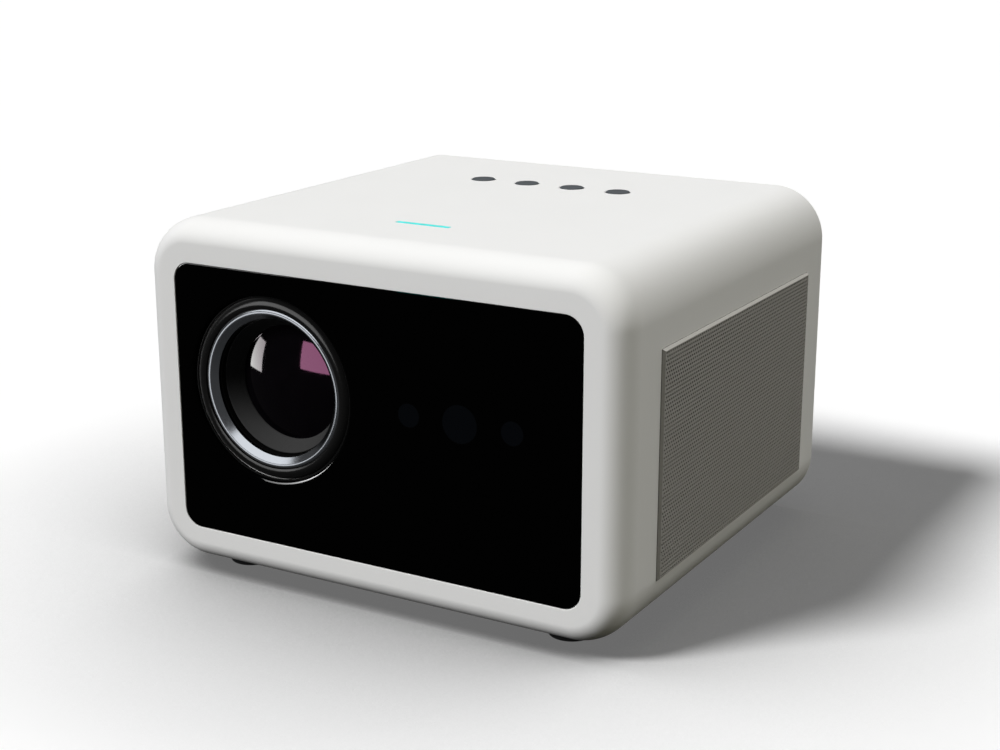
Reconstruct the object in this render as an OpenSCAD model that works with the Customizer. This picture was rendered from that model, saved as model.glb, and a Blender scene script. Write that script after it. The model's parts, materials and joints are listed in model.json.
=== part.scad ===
// Compact table-top video projector: an LCD light engine, a motor-focused lens behind a glass front,
// speakers on both sides, and a fan that blows out through the back.
// Every piece is drawn from the body's front plane (y = 0, depths grow to the back) and its underside
// (z = 0). in_frame() then moves it to the part's own frame, whose origin is under the middle of the feet.

/* [Body] */
// Width of the body across its sides
body_w = 190; // [180:1:220]
// Depth of the body from its front plane to its back
body_d = 172; // [164:1:200]
// Height of the body without its feet
body_h = 126.4; // [120:0.2:150]
// Radius of the four edges that run from front to back
corner_r = 19.6; // [16:0.2:24]
// Radius of the edge round the front
front_edge_r = 9.6; // [4:0.2:11]
// Thickness of the housing's walls and of the rear cover
wall = 2.6; // [2:0.1:3.2]

/* [Front panel] */
// Housing left in view on each side of the glass
panel_side_margin = 14.3; // [12:0.1:20]
// Housing left in view below the glass
panel_low_margin = 13.8; // [12:0.1:20]
// Housing left in view above the glass
panel_top_margin = 15; // [12:0.1:20]
// Corner radius of the glass
panel_r = 6.5; // [3:0.1:10]
// Thickness of the glass
panel_t = 2; // [1.5:0.1:3]
// How far the glass lies behind the front plane
panel_sink = 0.2; // [0:0.05:0.6]
// Gap round the edge of the glass
panel_gap = 0.2; // [0.1:0.05:0.4]
// Bevel round the lens hole in the glass
hole_bevel = 0.9; // [0.3:0.1:1.4]

/* [Lens] */
// Share of the spare height of the glass that lies below the lens hole
lens_share = 0.755; // [0.5:0.005:0.85]
// Outer radius of the lens elements
element_r = 21.55; // [19:0.05:23]
// Wall of the lens barrel
barrel_wall = 2.7; // [2:0.1:3.2]
// Step from the barrel out to the chrome ring
chrome_step = 1.5; // [1:0.1:2]
// Width of the chrome ring
chrome_w = 2.2; // [1.6:0.1:3]
// Width of the black nose ring round it
nose_w = 4.3; // [3.6:0.1:6]
// Gap between the nose ring and the hole in the glass
nose_gap = 2; // [1.4:0.1:3]
// Depth of the chrome ring's crest behind the front plane
chrome_crest = 1.4; // [0.4:0.1:2]
// Depth of the nose ring's crest behind the front plane
nose_crest = 0.9; // [0.2:0.1:2]
// Depth of the ledge that carries the chrome ring
chrome_seat = 5; // [4:0.1:6]
// Set-back of the barrel's rim behind that ledge
barrel_set_back = 1.8; // [1.6:0.1:3]
// Depth of the dark cone in front of the first element
cone_d = 6.1; // [4:0.1:8]
// Radius of the first element that stays in view
view_r = 20.7; // [18:0.05:21]
// Length of the toothed focus ring
ring_l = 8; // [6:0.5:10]
// Length of the fixed lens tube
tube_l = 30; // [28:0.5:36]
// Wall of the fixed lens tube
tube_wall = 3.5; // [2.5:0.1:4]
// Travel of the barrel each way from rest
focus_travel = 1.5; // [0.5:0.1:1.5]

/* [Focus drive] */
// Tooth module of the focus gears
gear_module = 1; // [0.9:0.05:1.1]
// Teeth on the focus ring
ring_teeth = 60; // [58:1:64]
// Teeth on the motor's pinion
pinion_teeth = 15; // [13:1:18]
// Thickness taken off each tooth for free running
tooth_gap = 0.3; // [0.2:0.05:0.4]
// Radius of the focus motor
motor_r = 8; // [6:0.5:9]
// Length of the focus motor
motor_l = 20; // [15:0.5:22]
// Direction from the lens axis to the motor, seen from the front
motor_angle = -35; // [-50:1:-20]

/* [Light engine] */
// Width of the engine's box
engine_w = 72; // [68:0.5:76]
// Height of the engine's box
engine_h = 50; // [48:0.5:60]
// Walls of the engine's box
engine_wall = 2.5; // [2:0.1:3]
// Depth of the heat sink
sink_d = 24; // [16:0.5:28]
// Pitch of the heat sink's fins
fin_pitch = 4; // [3:0.1:6]
// Side of the square fan
fan_side = 60; // [54:1:66]
// Depth of the fan's frame
fan_d = 13; // [10:0.5:15]
// Blades on the fan's rotor
fan_blades = 7; // [5:1:9]

/* [Sensors] */
// Distance from the lens axis to the middle sensor
sensor_offset = 76.9; // [74:0.1:80]
// Pitch of the three sensors
sensor_pitch = 19.65; // [18:0.05:22]
// Radius of the middle sensor
camera_r = 6.75; // [5:0.05:7]
// Radius of the outer sensors
small_sensor_r = 4.3; // [3:0.05:4.6]

/* [Top] */
// Radius of the top buttons
button_r = 4.5; // [3.5:0.1:5.5]
// Pitch of the top buttons
button_pitch = 19.6; // [16:0.1:22]
// Depth of the row of buttons behind the front plane
button_depth = 126.75; // [110:0.25:132]
// How far a button stands out of the top
button_proud = 0.3; // [0.1:0.05:0.8]
// Travel of a button
button_travel = 0.6; // [0.3:0.05:0.9]
// Length of the light bar
light_l = 22; // [16:0.5:30]
// Width of the light bar
light_w = 2; // [1.4:0.1:3]
// Depth of the light bar behind the front plane
light_depth = 36; // [30:0.5:44]

/* [Side grilles] */
// Length of a grille
grille_l = 129.3; // [110:0.1:134]
// Height of a grille
grille_h = 79; // [66:0.5:86]
// Depth of a grille's front edge behind the front plane
grille_depth = 26.9; // [20:0.1:32]
// Height of a grille's lower edge above the underside
grille_low = 18; // [16:0.5:22]
// Thickness of a grille
grille_t = 1.6; // [1.2:0.1:2]
// How far a grille stands out of the side
grille_proud = 1; // [0.6:0.1:1.2]
// Radius of a grille's holes
grille_hole_r = 1.5; // [1:0.1:1.8]
// Pitch of a grille's holes
grille_pitch = 6.4; // [5:0.1:8]
// Radius of a speaker's frame
speaker_r = 25; // [20:0.5:28]
// Depth of a speaker behind the side wall
speaker_d = 14; // [12:0.5:16]
// Gap between a speaker and the light engine
speaker_room = 1.4; // [0.6:0.1:3]

/* [Base] */
// Radius of a foot
foot_r = 8; // [6:0.2:9]
// Height of a foot
foot_h = 4; // [2:0.2:6]
// Distance from a foot's middle to the side of the body
foot_inset = 27.8; // [26:0.2:34]
// Distance from a foot's middle to the front and to the back of the body
foot_end = 20.5; // [19:0.5:30]
// Radius of the tripod insert's threaded hole
tripod_r = 2.55; // [2:0.05:3]
// Length of the tripod insert
tripod_l = 8; // [6:0.5:9]

/* [Back] */
// Width of the vent slots
vent_slot = 2.4; // [1.6:0.1:3]
// Pitch of the vent slots
vent_pitch = 5; // [4:0.1:7]
// Thickness of the dust filter
filter_t = 4; // [2:0.5:6]
// Half the width of the mains inlet's mouth, to the middle of its round ends
inlet_reach = 4.3; // [4:0.1:5]
// Radius of the round ends of the mains inlet's mouth
inlet_end_r = 4.5; // [4.2:0.1:5]

/* [Hidden] */
$fn = 96;

// Clearances
fit_gap = 0.3;
run_gap = 0.05;
seat_gap = 0.2;
cut = 1;

// Front panel and front wall
panel_w = body_w - 2 * panel_side_margin;
panel_h = body_h - panel_low_margin - panel_top_margin;
panel_z = panel_low_margin + panel_h / 2;
panel_back = panel_sink + panel_t;
front_t = panel_back + wall;
top_in = body_h - wall;
side_in = body_w / 2 - wall;
cover_in = body_d - wall;

// Lens stack, from the middle outwards
lens_x = -body_w / 2 + wall + speaker_d + speaker_room + engine_w / 2;
barrel_bore_r = element_r + run_gap;
barrel_r = barrel_bore_r + barrel_wall;
chrome_in_r = barrel_r + chrome_step;
chrome_r = chrome_in_r + chrome_w;
nose_r = chrome_r + nose_w;
lens_hole_r = nose_r + nose_gap;
lens_height = panel_low_margin + lens_hole_r + lens_share * (panel_h - 2 * lens_hole_r);
tube_r = barrel_r + run_gap + tube_wall;
key_w = 4;
key_h = 1.2;

// Lens stack, from the front backwards
nose_flange_t = 2.5;
nose_flange_w = 6.7;
nose_flange_r = nose_r + nose_flange_w;
nose_neck = 2.4;
nose_lip = 0.6;
nose_back = front_t + nose_flange_t + nose_neck;
ring_front = nose_back + fit_gap;
ring_back = ring_front + ring_l;
tube_front = ring_back + fit_gap;
tube_back = tube_front + tube_l;
barrel_front = chrome_seat + barrel_set_back;
barrel_room = 2.8;
barrel_back = tube_back - focus_travel - barrel_room;
barrel_rim = 0.4;
view_lip = 0.5;
element_seat = barrel_front + cone_d + view_lip;
front_edge_t = 4;
front_spacer_l = 6;
middle_edge_t = 3;
rear_spacer_l = 8;
rear_edge_t = 4;
retainer_l = 2.4;
front_spacer_y = element_seat + front_edge_t;
middle_y = front_spacer_y + front_spacer_l;
rear_spacer_y = middle_y + middle_edge_t;
rear_y = rear_spacer_y + rear_spacer_l;
retainer_y = rear_y + rear_edge_t;
element_rim = 3;
clear_r = element_r - element_rim;
spacer_in_r = clear_r + 0.5;
front_sag = 3.7;
front_hollow = 2;
middle_sag = 3;
rear_hollow = 1.5;
rear_sag = 1.8;
key_front = tube_front + 6;
key_room = 2;
tube_flange_t = 3;
tube_flange_in = 6;
tube_flange_drop = 4;
tube_flange_r = 6;

// Focus drive
ring_pitch_r = gear_module * ring_teeth / 2;
pinion_pitch_r = gear_module * pinion_teeth / 2;
gear_w = 5;
gear_front = ring_front + (ring_l - gear_w) / 2;
motor_reach = ring_pitch_r + pinion_pitch_r;
motor_at = motor_reach * [cos(motor_angle), sin(motor_angle)];
motor_shaft_r = 1;
motor_boss_r = 3;
motor_cap_l = 2;
ear_t = 3;
ear_rim = 1;
shaft_reach = 8;
shaft_room = 2;

// Light engine, from the back forwards
fan_front = cover_in - fan_d;
fan_gap = 0.6;
sink_front = fan_front - fan_gap - sink_d;
sink_base_t = 4;
fin_t = 1.2;
led_board_t = 2;
engine_back = sink_front - led_board_t;
engine_front = tube_back;
engine_l = engine_back - engine_front;
engine_low = lens_height - engine_h / 2;
engine_in_w = engine_w - 2 * engine_wall;
engine_in_h = engine_h - engine_wall;
lid_t = 2;
condenser_r = 19;
condenser_edge_t = 3;
condenser_sag = 7;
condenser_rim = 1;
condenser_seat_t = 2.5;
light_hole_r = 14;
led_r = light_hole_r - 4;
led_t = 1.2;
led_board_side = 2 * condenser_r + 4;
lcd_margin = 4;
lcd_sink = 0.5;
plate_pitch = 7;
plate_first = 26;
rib_t = 1.5;
rib_d = 2;
fan_bore_r = fan_side / 2 - 1.5;
fan_corner_r = 4;
hub_r = 14;
hub_skin = 1.6;
fan_shaft_r = 1.5;
bearing_r = 3.4;
bearing_front = 3.5;
strut_t = 2;
strut_w = 3;
rotor_gap = 1;
blade_t = 1.2;
blade_l = fan_d - strut_t - 2 * rotor_gap;

// Chassis and boards
chassis_z = 6;
chassis_t = 2;
chassis_top = chassis_z + chassis_t;
chassis_gap = 0.4;
chassis_half = side_in - speaker_d - chassis_gap;
chassis_front = 12;
chassis_back = cover_in - 10;
chassis_boss_in = 18;
chassis_boss_x = chassis_half - chassis_boss_in;
chassis_boss_front = chassis_front + 28;
chassis_boss_back = chassis_back - 20;
board_t = 1.6;
board_hole_in = 5;
post_r = 4;
post_x = engine_w / 2 - post_r;
post_end = 7;
standoff_r = 3;
boss_r = 2;
power_board_room = 2;
power_board_w = 2 * (post_x - post_r - power_board_room);
power_board_front = engine_front + 14;
board_back = cover_in - 8;
power_board_z = chassis_top + 4;
power_board_top = power_board_z + board_t;
power_peg_back = board_back - 14;
main_board_gap = 6;
main_board_left = lens_x + engine_w / 2 + main_board_gap;
main_board_w = chassis_half - main_board_left;
main_board_front = 60;
main_board_z = chassis_top + 6;
main_board_top = main_board_z + board_t;
main_peg_back = board_back - 24;

// Parts on the main board
chip_side = 26;
chip_t = 3;
chip_back = 34;
chip_fin_t = 1.2;
chip_fin_h = 10;
chip_fin_pitch = 4.8;
memory_w = 10;
memory_l = 14;
memory_t = 1.2;
main_can_r = 3.2;
main_can_h = 9;
main_can_in = 7;

// Parts on the power board, under the light engine
power_room = 9;
power_can_r = 7;
power_can_h = engine_low - power_room - power_board_z;
power_can_x = 13;
coil_w = 20;
coil_l = 18;
coil_h = power_can_h - 7;
coil_x = 4;
choke_r = 5;
choke_wire_r = 3;
power_plate_w = 16;
power_plate_t = 2;
power_plate_h = power_can_h - 4;

// Sockets along the back
port_margin = 9;
port_step = (main_board_w - 2 * port_margin) / 3;
port_x = [for (i = [0 : 3]) main_board_left + port_margin + i * port_step];
port_sink = 0.6;
port_back = body_d - port_sink;
socket_skin = 0.8;
socket_floor = 2;
tongue_t = 1.2;
hdmi_w = 15;
hdmi_h = 6.2;
hdmi_d = 13;
usb_w = 14;
usb_h = 7;
usb_d = 15;
jack_r = 3.4;
jack_bore_r = 1.75;
jack_d = 13;
jack_floor = 1;
inlet_side = 2;
inlet_w = 2 * (inlet_reach + inlet_end_r + inlet_side);
inlet_h = 2 * (inlet_end_r + inlet_side) + 1;
inlet_d = 20;
inlet_mouth_d = 12;
inlet_x = lens_x;
inlet_z = power_board_top + inlet_h / 2;
pin_r = 1.2;
pin_clear = 5;
port_plate_room = 5;
port_plate_h = inlet_z + inlet_h / 2 + port_plate_room;

// Rear cover, its screws and vents
cover_gap = 0.25;
cover_boss_r = 4;
cover_boss_l = 30;
cover_boss_in = corner_r - (corner_r - wall - 3) / sqrt(2);
cover_boss_at = [for (sx = [-1, 1], z = [cover_boss_in, body_h - cover_boss_in])
    [sx * (body_w / 2 - cover_boss_in), z]];
screw_r = 1.4;
screw_head_r = 2.8;
screw_head_t = 1.4;
screw_l = 12;
screw_room = 2;
screw_slot_w = 0.8;
screw_slot_d = 0.9;
filter_left = lens_x + fan_side / 2 + 14;
filter_right = chassis_half - 4;
filter_rim = 3;
filter_r = 2;
filter_x = (filter_left + filter_right) / 2;
filter_w = filter_right - filter_left;
filter_h = fan_side;

// Sensors
sensor_x = lens_x + sensor_offset;
sensor_board_y = front_t + 7;
sensor_board_w = 2 * sensor_pitch + 20;
sensor_board_h = 2 * camera_r + 6;
sensor_boss_in = (camera_r + sensor_pitch - small_sensor_r) / 2;
sensor_rim = 1.4;
sensor_face = 0.8;
sensor_lens_rim = 2;
sensor_lens_sag = 1;

// Top boards
button_flange = 1.1;
button_flange_t = 1.2;
button_flange_top = top_in - fit_gap;
switch_h = 3.5;
switch_side = 6;
button_stem_r = 2;
button_stem_l = 2.5;
button_stem_low = button_flange_top - button_flange_t - button_stem_l;
switch_gap = 0.1;
switch_top = button_stem_low - button_travel - switch_gap;
button_board_z = switch_top - switch_h - board_t;
button_boss_x = 1.5 * button_pitch + button_r + button_flange + boss_r + 1.5;
button_board_reach = button_boss_x + boss_r + 1;
button_board_w = 16;
light_flange = 2;
light_flange_t = 1.2;
light_board_drop = 6;
light_board_z = top_in - light_board_drop;
light_boss_x = light_l / 2 + light_flange + boss_r + 1;
light_board_reach = light_boss_x + boss_r + 1;
light_board_w = 10;

// Sides
grille_y = grille_depth + grille_l / 2;
grille_z = grille_low + grille_h / 2;
grille_sink = grille_t - grille_proud;
speaker_rim = 5;
cone_r = speaker_r - speaker_rim;
cone_seat = 1;
cone_skin = 0.8;
cone_gap = 0.1;
cone_roll = 3;
cone_roll_r = 1.1;
cap_r = 5;
speaker_flange_t = 2;
magnet_r = 14;
magnet_d = 6;

// Base
foot_peg_r = 3;
foot_edge_r = 1.2;
tripod_out_r = tripod_r + 2;
tripod_boss_r = tripod_out_r + 3;
tripod_boss_h = tripod_l + 2;

housing_colour = [0.90, 0.90, 0.89];
black = [0.05, 0.05, 0.055];
dark = [0.16, 0.16, 0.17];
steel = [0.62, 0.63, 0.65];
clear_glass = [0.72, 0.80, 0.86, 0.5];
board_green = [0.08, 0.28, 0.16];

// Moves a piece drawn from the front plane and the underside into the part's frame
module in_frame() {
    translate([0, -body_d / 2, foot_h]) children();
}

// Turns a shape drawn as seen from the front, so that its height runs backwards from y
module from_front(x, y, z) {
    translate([x, y, z]) mirror([0, 1, 0]) rotate([90, 0, 0]) children();
}

// The same, about the lens axis
module on_lens_axis(y) {
    from_front(lens_x, y, lens_height) children();
}

// Turns a shape drawn as seen from a side, so that its height runs inwards from that side
module from_side(side, x, y, z) {
    translate([side * x, y, z]) {
        if (side > 0) mirror([1, 0, 0]) rotate([90, 0, 90]) children();
        else rotate([90, 0, 90]) children();
    }
}

// Rectangle with round corners, centred
module rounded_rect(w, h, r) {
    square([w - 2 * r, h], center = true);
    square([w, h - 2 * r], center = true);
    for (sx = [-1, 1], sy = [-1, 1]) translate([sx * (w / 2 - r), sy * (h / 2 - r)]) circle(r);
}

// Half section of a shallow dome of base radius c and height s
module dome_section(c, s) {
    r = (c * c + s * s) / (2 * s);
    intersection() {
        translate([0, s - r]) circle(r, $fn = 256);
        square([c, s]);
    }
}

// Round lens with a flat rim: positive sags bulge out, negative ones are hollow
module lens_element(r, edge_t, c, front_sag, back_sag) {
    rotate_extrude() difference() {
        union() {
            square([r, edge_t]);
            if (front_sag > 0) mirror([0, 1]) dome_section(c, front_sag);
            if (back_sag > 0) translate([0, edge_t]) dome_section(c, back_sag);
        }
        if (front_sag < 0) dome_section(c, -front_sag);
        if (back_sag < 0) translate([0, edge_t]) mirror([0, 1]) dome_section(c, -back_sag);
    }
}

// Plain ring
module ring(r_out, r_in, l) {
    difference() {
        cylinder(r = r_out, h = l);
        translate([0, 0, -cut]) cylinder(r = r_in, h = l + 2 * cut);
    }
}

// Involute gear outline with stub teeth and the first tooth on the x axis
function involute(base_r, r) = r <= base_r ? 0
    : let (t = sqrt(pow(r / base_r, 2) - 1)) t * 180 / PI - atan(t);
function half_tooth(n, m, r) = let (pitch_r = n * m / 2, base_r = pitch_r * cos(20))
    90 / n - tooth_gap / (2 * pitch_r) * 180 / PI + involute(base_r, pitch_r) - involute(base_r, r);
function gear_outline(n, m) = let (
    pitch_r = n * m / 2,
    flank = [pitch_r - 1.1 * m, pitch_r - 0.4 * m, pitch_r + 0.2 * m, pitch_r + 0.8 * m])
    [for (i = [0 : n - 1], side = [-1, 1], k = [0 : 3])
        let (r = flank[side < 0 ? k : 3 - k], a = i * 360 / n + side * half_tooth(n, m, r))
        r * [cos(a), sin(a)]];

// Section of the wrap-round shell: the front wall, the round front edge and the side wall
module shell_section() {
    difference() {
        union() {
            square([corner_r - front_edge_r, body_d]);
            translate([0, front_edge_r]) square([corner_r, body_d - front_edge_r]);
            intersection() {
                translate([corner_r - front_edge_r, front_edge_r]) circle(front_edge_r);
                translate([corner_r - front_edge_r, 0]) square(front_edge_r);
            }
        }
        translate([-cut, front_t]) square([corner_r - wall + cut, body_d]);
    }
}

// Shell open at the back: the section swept round the body's outline
module shell() {
    w = body_w - 2 * corner_r;
    h = body_h - 2 * corner_r;
    from_front(0, 0, body_h / 2) {
        translate([-w / 2, -h / 2, 0]) cube([w, h, front_t]);
        for (k = [0 : 3]) {
            across = k % 2 == 0 ? w : h;
            along = k % 2 == 0 ? h : w;
            rotate(90 * k) translate([across / 2, along / 2, 0]) {
                rotate_extrude(angle = 90) shell_section();
                rotate([90, 0, 0]) linear_extrude(along) shell_section();
            }
        }
    }
}

// Bosses inside the shell that carry the rear cover, the chassis and the small boards
module shell_bosses() {
    for (p = cover_boss_at)
        translate([p[0], cover_in, p[1]]) rotate([90, 0, 0]) cylinder(r = cover_boss_r, h = cover_boss_l);
    for (sx = [-1, 1], y = [chassis_boss_front, chassis_boss_back])
        translate([sx * chassis_boss_x, y, wall / 2]) cylinder(r = post_r, h = chassis_z - wall / 2);
    translate([0, body_d / 2, wall / 2]) cylinder(r = tripod_boss_r, h = tripod_boss_h - wall / 2);
    for (sx = [-1, 1]) {
        boss_from_top(sx * button_boss_x, button_depth, button_board_z + board_t);
        boss_from_top(sx * light_boss_x, light_depth, light_board_z + board_t);
        from_front(sensor_x + sx * sensor_boss_in, front_t - wall / 2, lens_height)
            cylinder(r = boss_r, h = sensor_board_y - front_t + wall / 2);
    }
}

module boss_from_top(x, y, low) {
    translate([x, y, low]) cylinder(r = boss_r, h = top_in + wall / 2 - low);
}

// Everything cut out of the shell
module shell_cuts() {
    from_front(0, -cut, panel_z) linear_extrude(panel_back + cut)
        rounded_rect(panel_w + 2 * panel_gap, panel_h + 2 * panel_gap, panel_r + panel_gap);
    on_lens_axis(0) cylinder(r = nose_r + seat_gap, h = front_t + cut);
    for (i = [-1 : 1]) from_front(sensor_x + i * sensor_pitch, 0, lens_height)
        cylinder(r = (i == 0 ? camera_r : small_sensor_r) + seat_gap, h = front_t + cut);
    for (side = [-1, 1]) {
        from_side(side, body_w / 2 + cut, grille_y, grille_z) linear_extrude(grille_sink + cut)
            square([grille_l + 2 * seat_gap, grille_h + 2 * seat_gap], center = true);
        from_side(side, body_w / 2, grille_y, grille_z) cylinder(r = cone_r, h = wall + cut);
    }
    for (i = [0 : 3]) translate([button_x(i), button_depth, top_in - cut])
        cylinder(r = button_r + fit_gap, h = wall + 2 * cut);
    translate([-light_l / 2 - seat_gap, light_depth - light_w / 2 - seat_gap, top_in - cut])
        cube([light_l + 2 * seat_gap, light_w + 2 * seat_gap, wall + 2 * cut]);
    for (sx = [-1, 1], y = [foot_end, body_d - foot_end])
        translate([sx * (body_w / 2 - foot_inset), y, -cut])
            cylinder(r = foot_peg_r + run_gap, h = wall + 2 * cut);
    translate([0, body_d / 2, -cut]) cylinder(r = tripod_out_r + run_gap, h = tripod_l + cut);
    for (p = cover_boss_at)
        translate([p[0], body_d, p[1]]) rotate([90, 0, 0])
            cylinder(r = screw_r + run_gap, h = screw_l + screw_room);
}

function button_x(i) = (i - 1.5) * button_pitch;

module housing() {
    color(housing_colour) in_frame() difference() {
        union() {
            shell();
            shell_bosses();
        }
        shell_cuts();
    }
}

module front_glass() {
    color(black) in_frame() difference() {
        from_front(0, panel_sink, panel_z) linear_extrude(panel_t) rounded_rect(panel_w, panel_h, panel_r);
        on_lens_axis(0) cylinder(r = lens_hole_r, h = front_t);
        on_lens_axis(panel_sink)
            cylinder(r1 = lens_hole_r + hole_bevel, r2 = lens_hole_r, h = hole_bevel);
    }
}

// Level slots that fill a shape given as the child
module slots(h) {
    n = floor((h / 2 - vent_slot) / vent_pitch);
    intersection() {
        children();
        for (i = [-n : n]) translate([0, i * vent_pitch]) square([body_w, vent_slot], center = true);
    }
}

// Blank of the back between two heights, with the screw holes of the corner bosses
module cover_blank(low, high) {
    difference() {
        from_front(0, cover_in, body_h / 2) linear_extrude(wall) intersection() {
            rounded_rect(body_w - 2 * (wall + cover_gap), body_h - 2 * (wall + cover_gap),
                corner_r - wall - cover_gap);
            translate([-body_w / 2, low - body_h / 2]) square([body_w, high - low]);
        }
        for (p = cover_boss_at) from_front(p[0], cover_in - cut, p[1]) {
            cylinder(r = screw_r + seat_gap, h = wall + 2 * cut);
            translate([0, 0, wall - screw_head_t + cut])
                cylinder(r = screw_head_r + seat_gap, h = screw_head_t + cut);
        }
    }
}

module rear_cover() {
    color(housing_colour) in_frame() difference() {
        cover_blank(port_plate_h + seat_gap, body_h);
        on_lens_axis(cover_in - cut) linear_extrude(wall + 2 * cut)
            slots(2 * fan_bore_r) circle(fan_bore_r);
        from_front(filter_x, cover_in - cut, lens_height) linear_extrude(wall + 2 * cut)
            slots(filter_h - 2 * filter_rim)
                square([filter_w - 2 * filter_rim, filter_h - 2 * filter_rim], center = true);
    }
}

// Lower strip of the back, with the openings for the sockets and the mains inlet
module port_plate() {
    color(dark) in_frame() difference() {
        cover_blank(0, port_plate_h);
        from_front(inlet_x, cover_in - cut, inlet_z) linear_extrude(wall + 2 * cut)
            square([inlet_w + 2 * seat_gap, inlet_h + 2 * seat_gap], center = true);
        socket_hole(port_x[0], hdmi_w, hdmi_h);
        for (i = [1, 2]) socket_hole(port_x[i], usb_w, usb_h);
        from_front(port_x[3], cover_in - cut, main_board_top + jack_r)
            cylinder(r = jack_r + seat_gap, h = wall + 2 * cut);
    }
}

module socket_hole(x, w, h) {
    translate([x - w / 2 - seat_gap, cover_in - cut, main_board_top - seat_gap])
        cube([w + 2 * seat_gap, wall + 2 * cut, h + 2 * seat_gap]);
}

module rear_cover_screws() {
    color(dark) in_frame() for (p = cover_boss_at) from_front(p[0], body_d - screw_head_t, p[1])
        difference() {
            union() {
                cylinder(r = screw_head_r, h = screw_head_t);
                translate([0, 0, -screw_l + screw_head_t]) cylinder(r = screw_r, h = screw_l);
            }
            for (a = [0, 90]) rotate(a)
                translate([-screw_r, -screw_slot_w / 2, screw_head_t - screw_slot_d])
                    cube([2 * screw_r, screw_slot_w, screw_slot_d + cut]);
        }
}

// Perforated plate in a shallow pocket of the side wall
module grille(side) {
    n = floor((grille_l / 2 - 2 * grille_hole_r) / grille_pitch);
    row_pitch = grille_pitch * sqrt(3) / 2;
    m = floor((grille_h / 2 - 2 * grille_hole_r) / row_pitch);
    color(steel) in_frame() from_side(side, body_w / 2 + grille_proud, grille_y, grille_z)
        linear_extrude(grille_t) difference() {
            square([grille_l, grille_h], center = true);
            for (j = [-m : m], i = [-n : n - abs(j % 2)])
                translate([(i + abs(j % 2) / 2) * grille_pitch, j * row_pitch])
                    circle(grille_hole_r, $fn = 24);
        }
}

module foot(sx, y) {
    color(black) in_frame() translate([sx * (body_w / 2 - foot_inset), y, -foot_h]) rotate_extrude() {
        translate([0, foot_edge_r]) square([foot_r, foot_h - foot_edge_r]);
        square([foot_r - foot_edge_r, foot_edge_r]);
        translate([foot_r - foot_edge_r, foot_edge_r]) circle(foot_edge_r);
        square([foot_peg_r, foot_h + wall]);
    }
}

module tripod_insert() {
    color([0.78, 0.62, 0.3]) in_frame() translate([0, body_d / 2, 0])
        ring(tripod_out_r, tripod_r, tripod_l);
}

module chassis() {
    color(steel) in_frame() difference() {
        union() {
            translate([-chassis_half, chassis_front, chassis_z])
                cube([2 * chassis_half, chassis_back - chassis_front, chassis_t]);
            for (sx = [-1, 1], y = [engine_front + post_end, engine_back - post_end])
                translate([lens_x + sx * post_x, y, chassis_z])
                    cylinder(r = post_r, h = engine_low - chassis_z);
            for (sx = [-1, 1], y = [power_board_front + board_hole_in, power_peg_back])
                translate([lens_x + sx * (power_board_w / 2 - board_hole_in), y, chassis_z])
                    cylinder(r = standoff_r, h = power_board_z - chassis_z);
            for (x = [main_board_left + board_hole_in, chassis_half - board_hole_in],
                y = [main_board_front + board_hole_in, main_peg_back])
                translate([x, y, chassis_z]) cylinder(r = standoff_r, h = main_board_z - chassis_z);
        }
        translate([0, body_d / 2, 0]) cylinder(r = tripod_boss_r + 1, h = chassis_top + cut);
    }
}

// A button with the flange that keeps it in and the stem that presses its switch
module top_button(i) {
    flange_low = button_flange_top - button_flange_t;
    color([0.32, 0.35, 0.38]) in_frame() translate([button_x(i - 1), button_depth, 0]) {
        translate([0, 0, flange_low]) cylinder(r = button_r + button_flange, h = button_flange_t);
        translate([0, 0, flange_low]) cylinder(r = button_r, h = body_h + button_proud - flange_low);
        translate([0, 0, button_stem_low]) cylinder(r = button_stem_r, h = button_stem_l + cut / 2);
    }
}

module button_board() {
    color(board_green) in_frame()
        translate([-button_board_reach, button_depth - button_board_w / 2, button_board_z])
            cube([2 * button_board_reach, button_board_w, board_t]);
}

module button_switches() {
    color(dark) in_frame() for (i = [0 : 3])
        translate([button_x(i) - switch_side / 2, button_depth - switch_side / 2, button_board_z + board_t])
            cube([switch_side, switch_side, switch_h]);
}

module light_bar() {
    foot_z = light_board_z + board_t;
    color([0.2, 0.9, 0.9]) in_frame() translate([0, light_depth, 0]) {
        translate([-light_l / 2, -light_w / 2, foot_z]) cube([light_l, light_w, body_h - foot_z]);
        translate([-light_l / 2 - light_flange, -light_w / 2 - light_flange, top_in - light_flange_t])
            cube([light_l + 2 * light_flange, light_w + 2 * light_flange, light_flange_t]);
    }
}

module light_bar_board() {
    color(board_green) in_frame()
        translate([-light_board_reach, light_depth - light_board_w / 2, light_board_z])
            cube([2 * light_board_reach, light_board_w, board_t]);
}

// Black trim ring: a round nose in the hole of the glass, a flange behind the front wall
module nose_ring() {
    round_r = (nose_w + nose_lip) / 2;
    nose_in_r = barrel_r + fit_gap;
    color(black) in_frame() on_lens_axis(0) rotate_extrude() difference() {
        union() {
            translate([nose_r - round_r, nose_crest + round_r]) circle(round_r);
            translate([nose_in_r, nose_crest + round_r])
                square([nose_r - nose_in_r, nose_back - nose_crest - round_r]);
            translate([nose_in_r, front_t]) square([nose_flange_r - nose_in_r, nose_flange_t]);
        }
        square([chrome_r + run_gap, chrome_seat]);
    }
}

module chrome_ring() {
    round_r = chrome_w / 2;
    color([0.85, 0.86, 0.88]) in_frame() on_lens_axis(0) rotate_extrude() {
        translate([chrome_in_r + round_r, chrome_crest + round_r]) circle(round_r);
        translate([chrome_in_r, chrome_crest + round_r])
            square([chrome_w, chrome_seat - chrome_crest - round_r]);
    }
}

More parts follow.
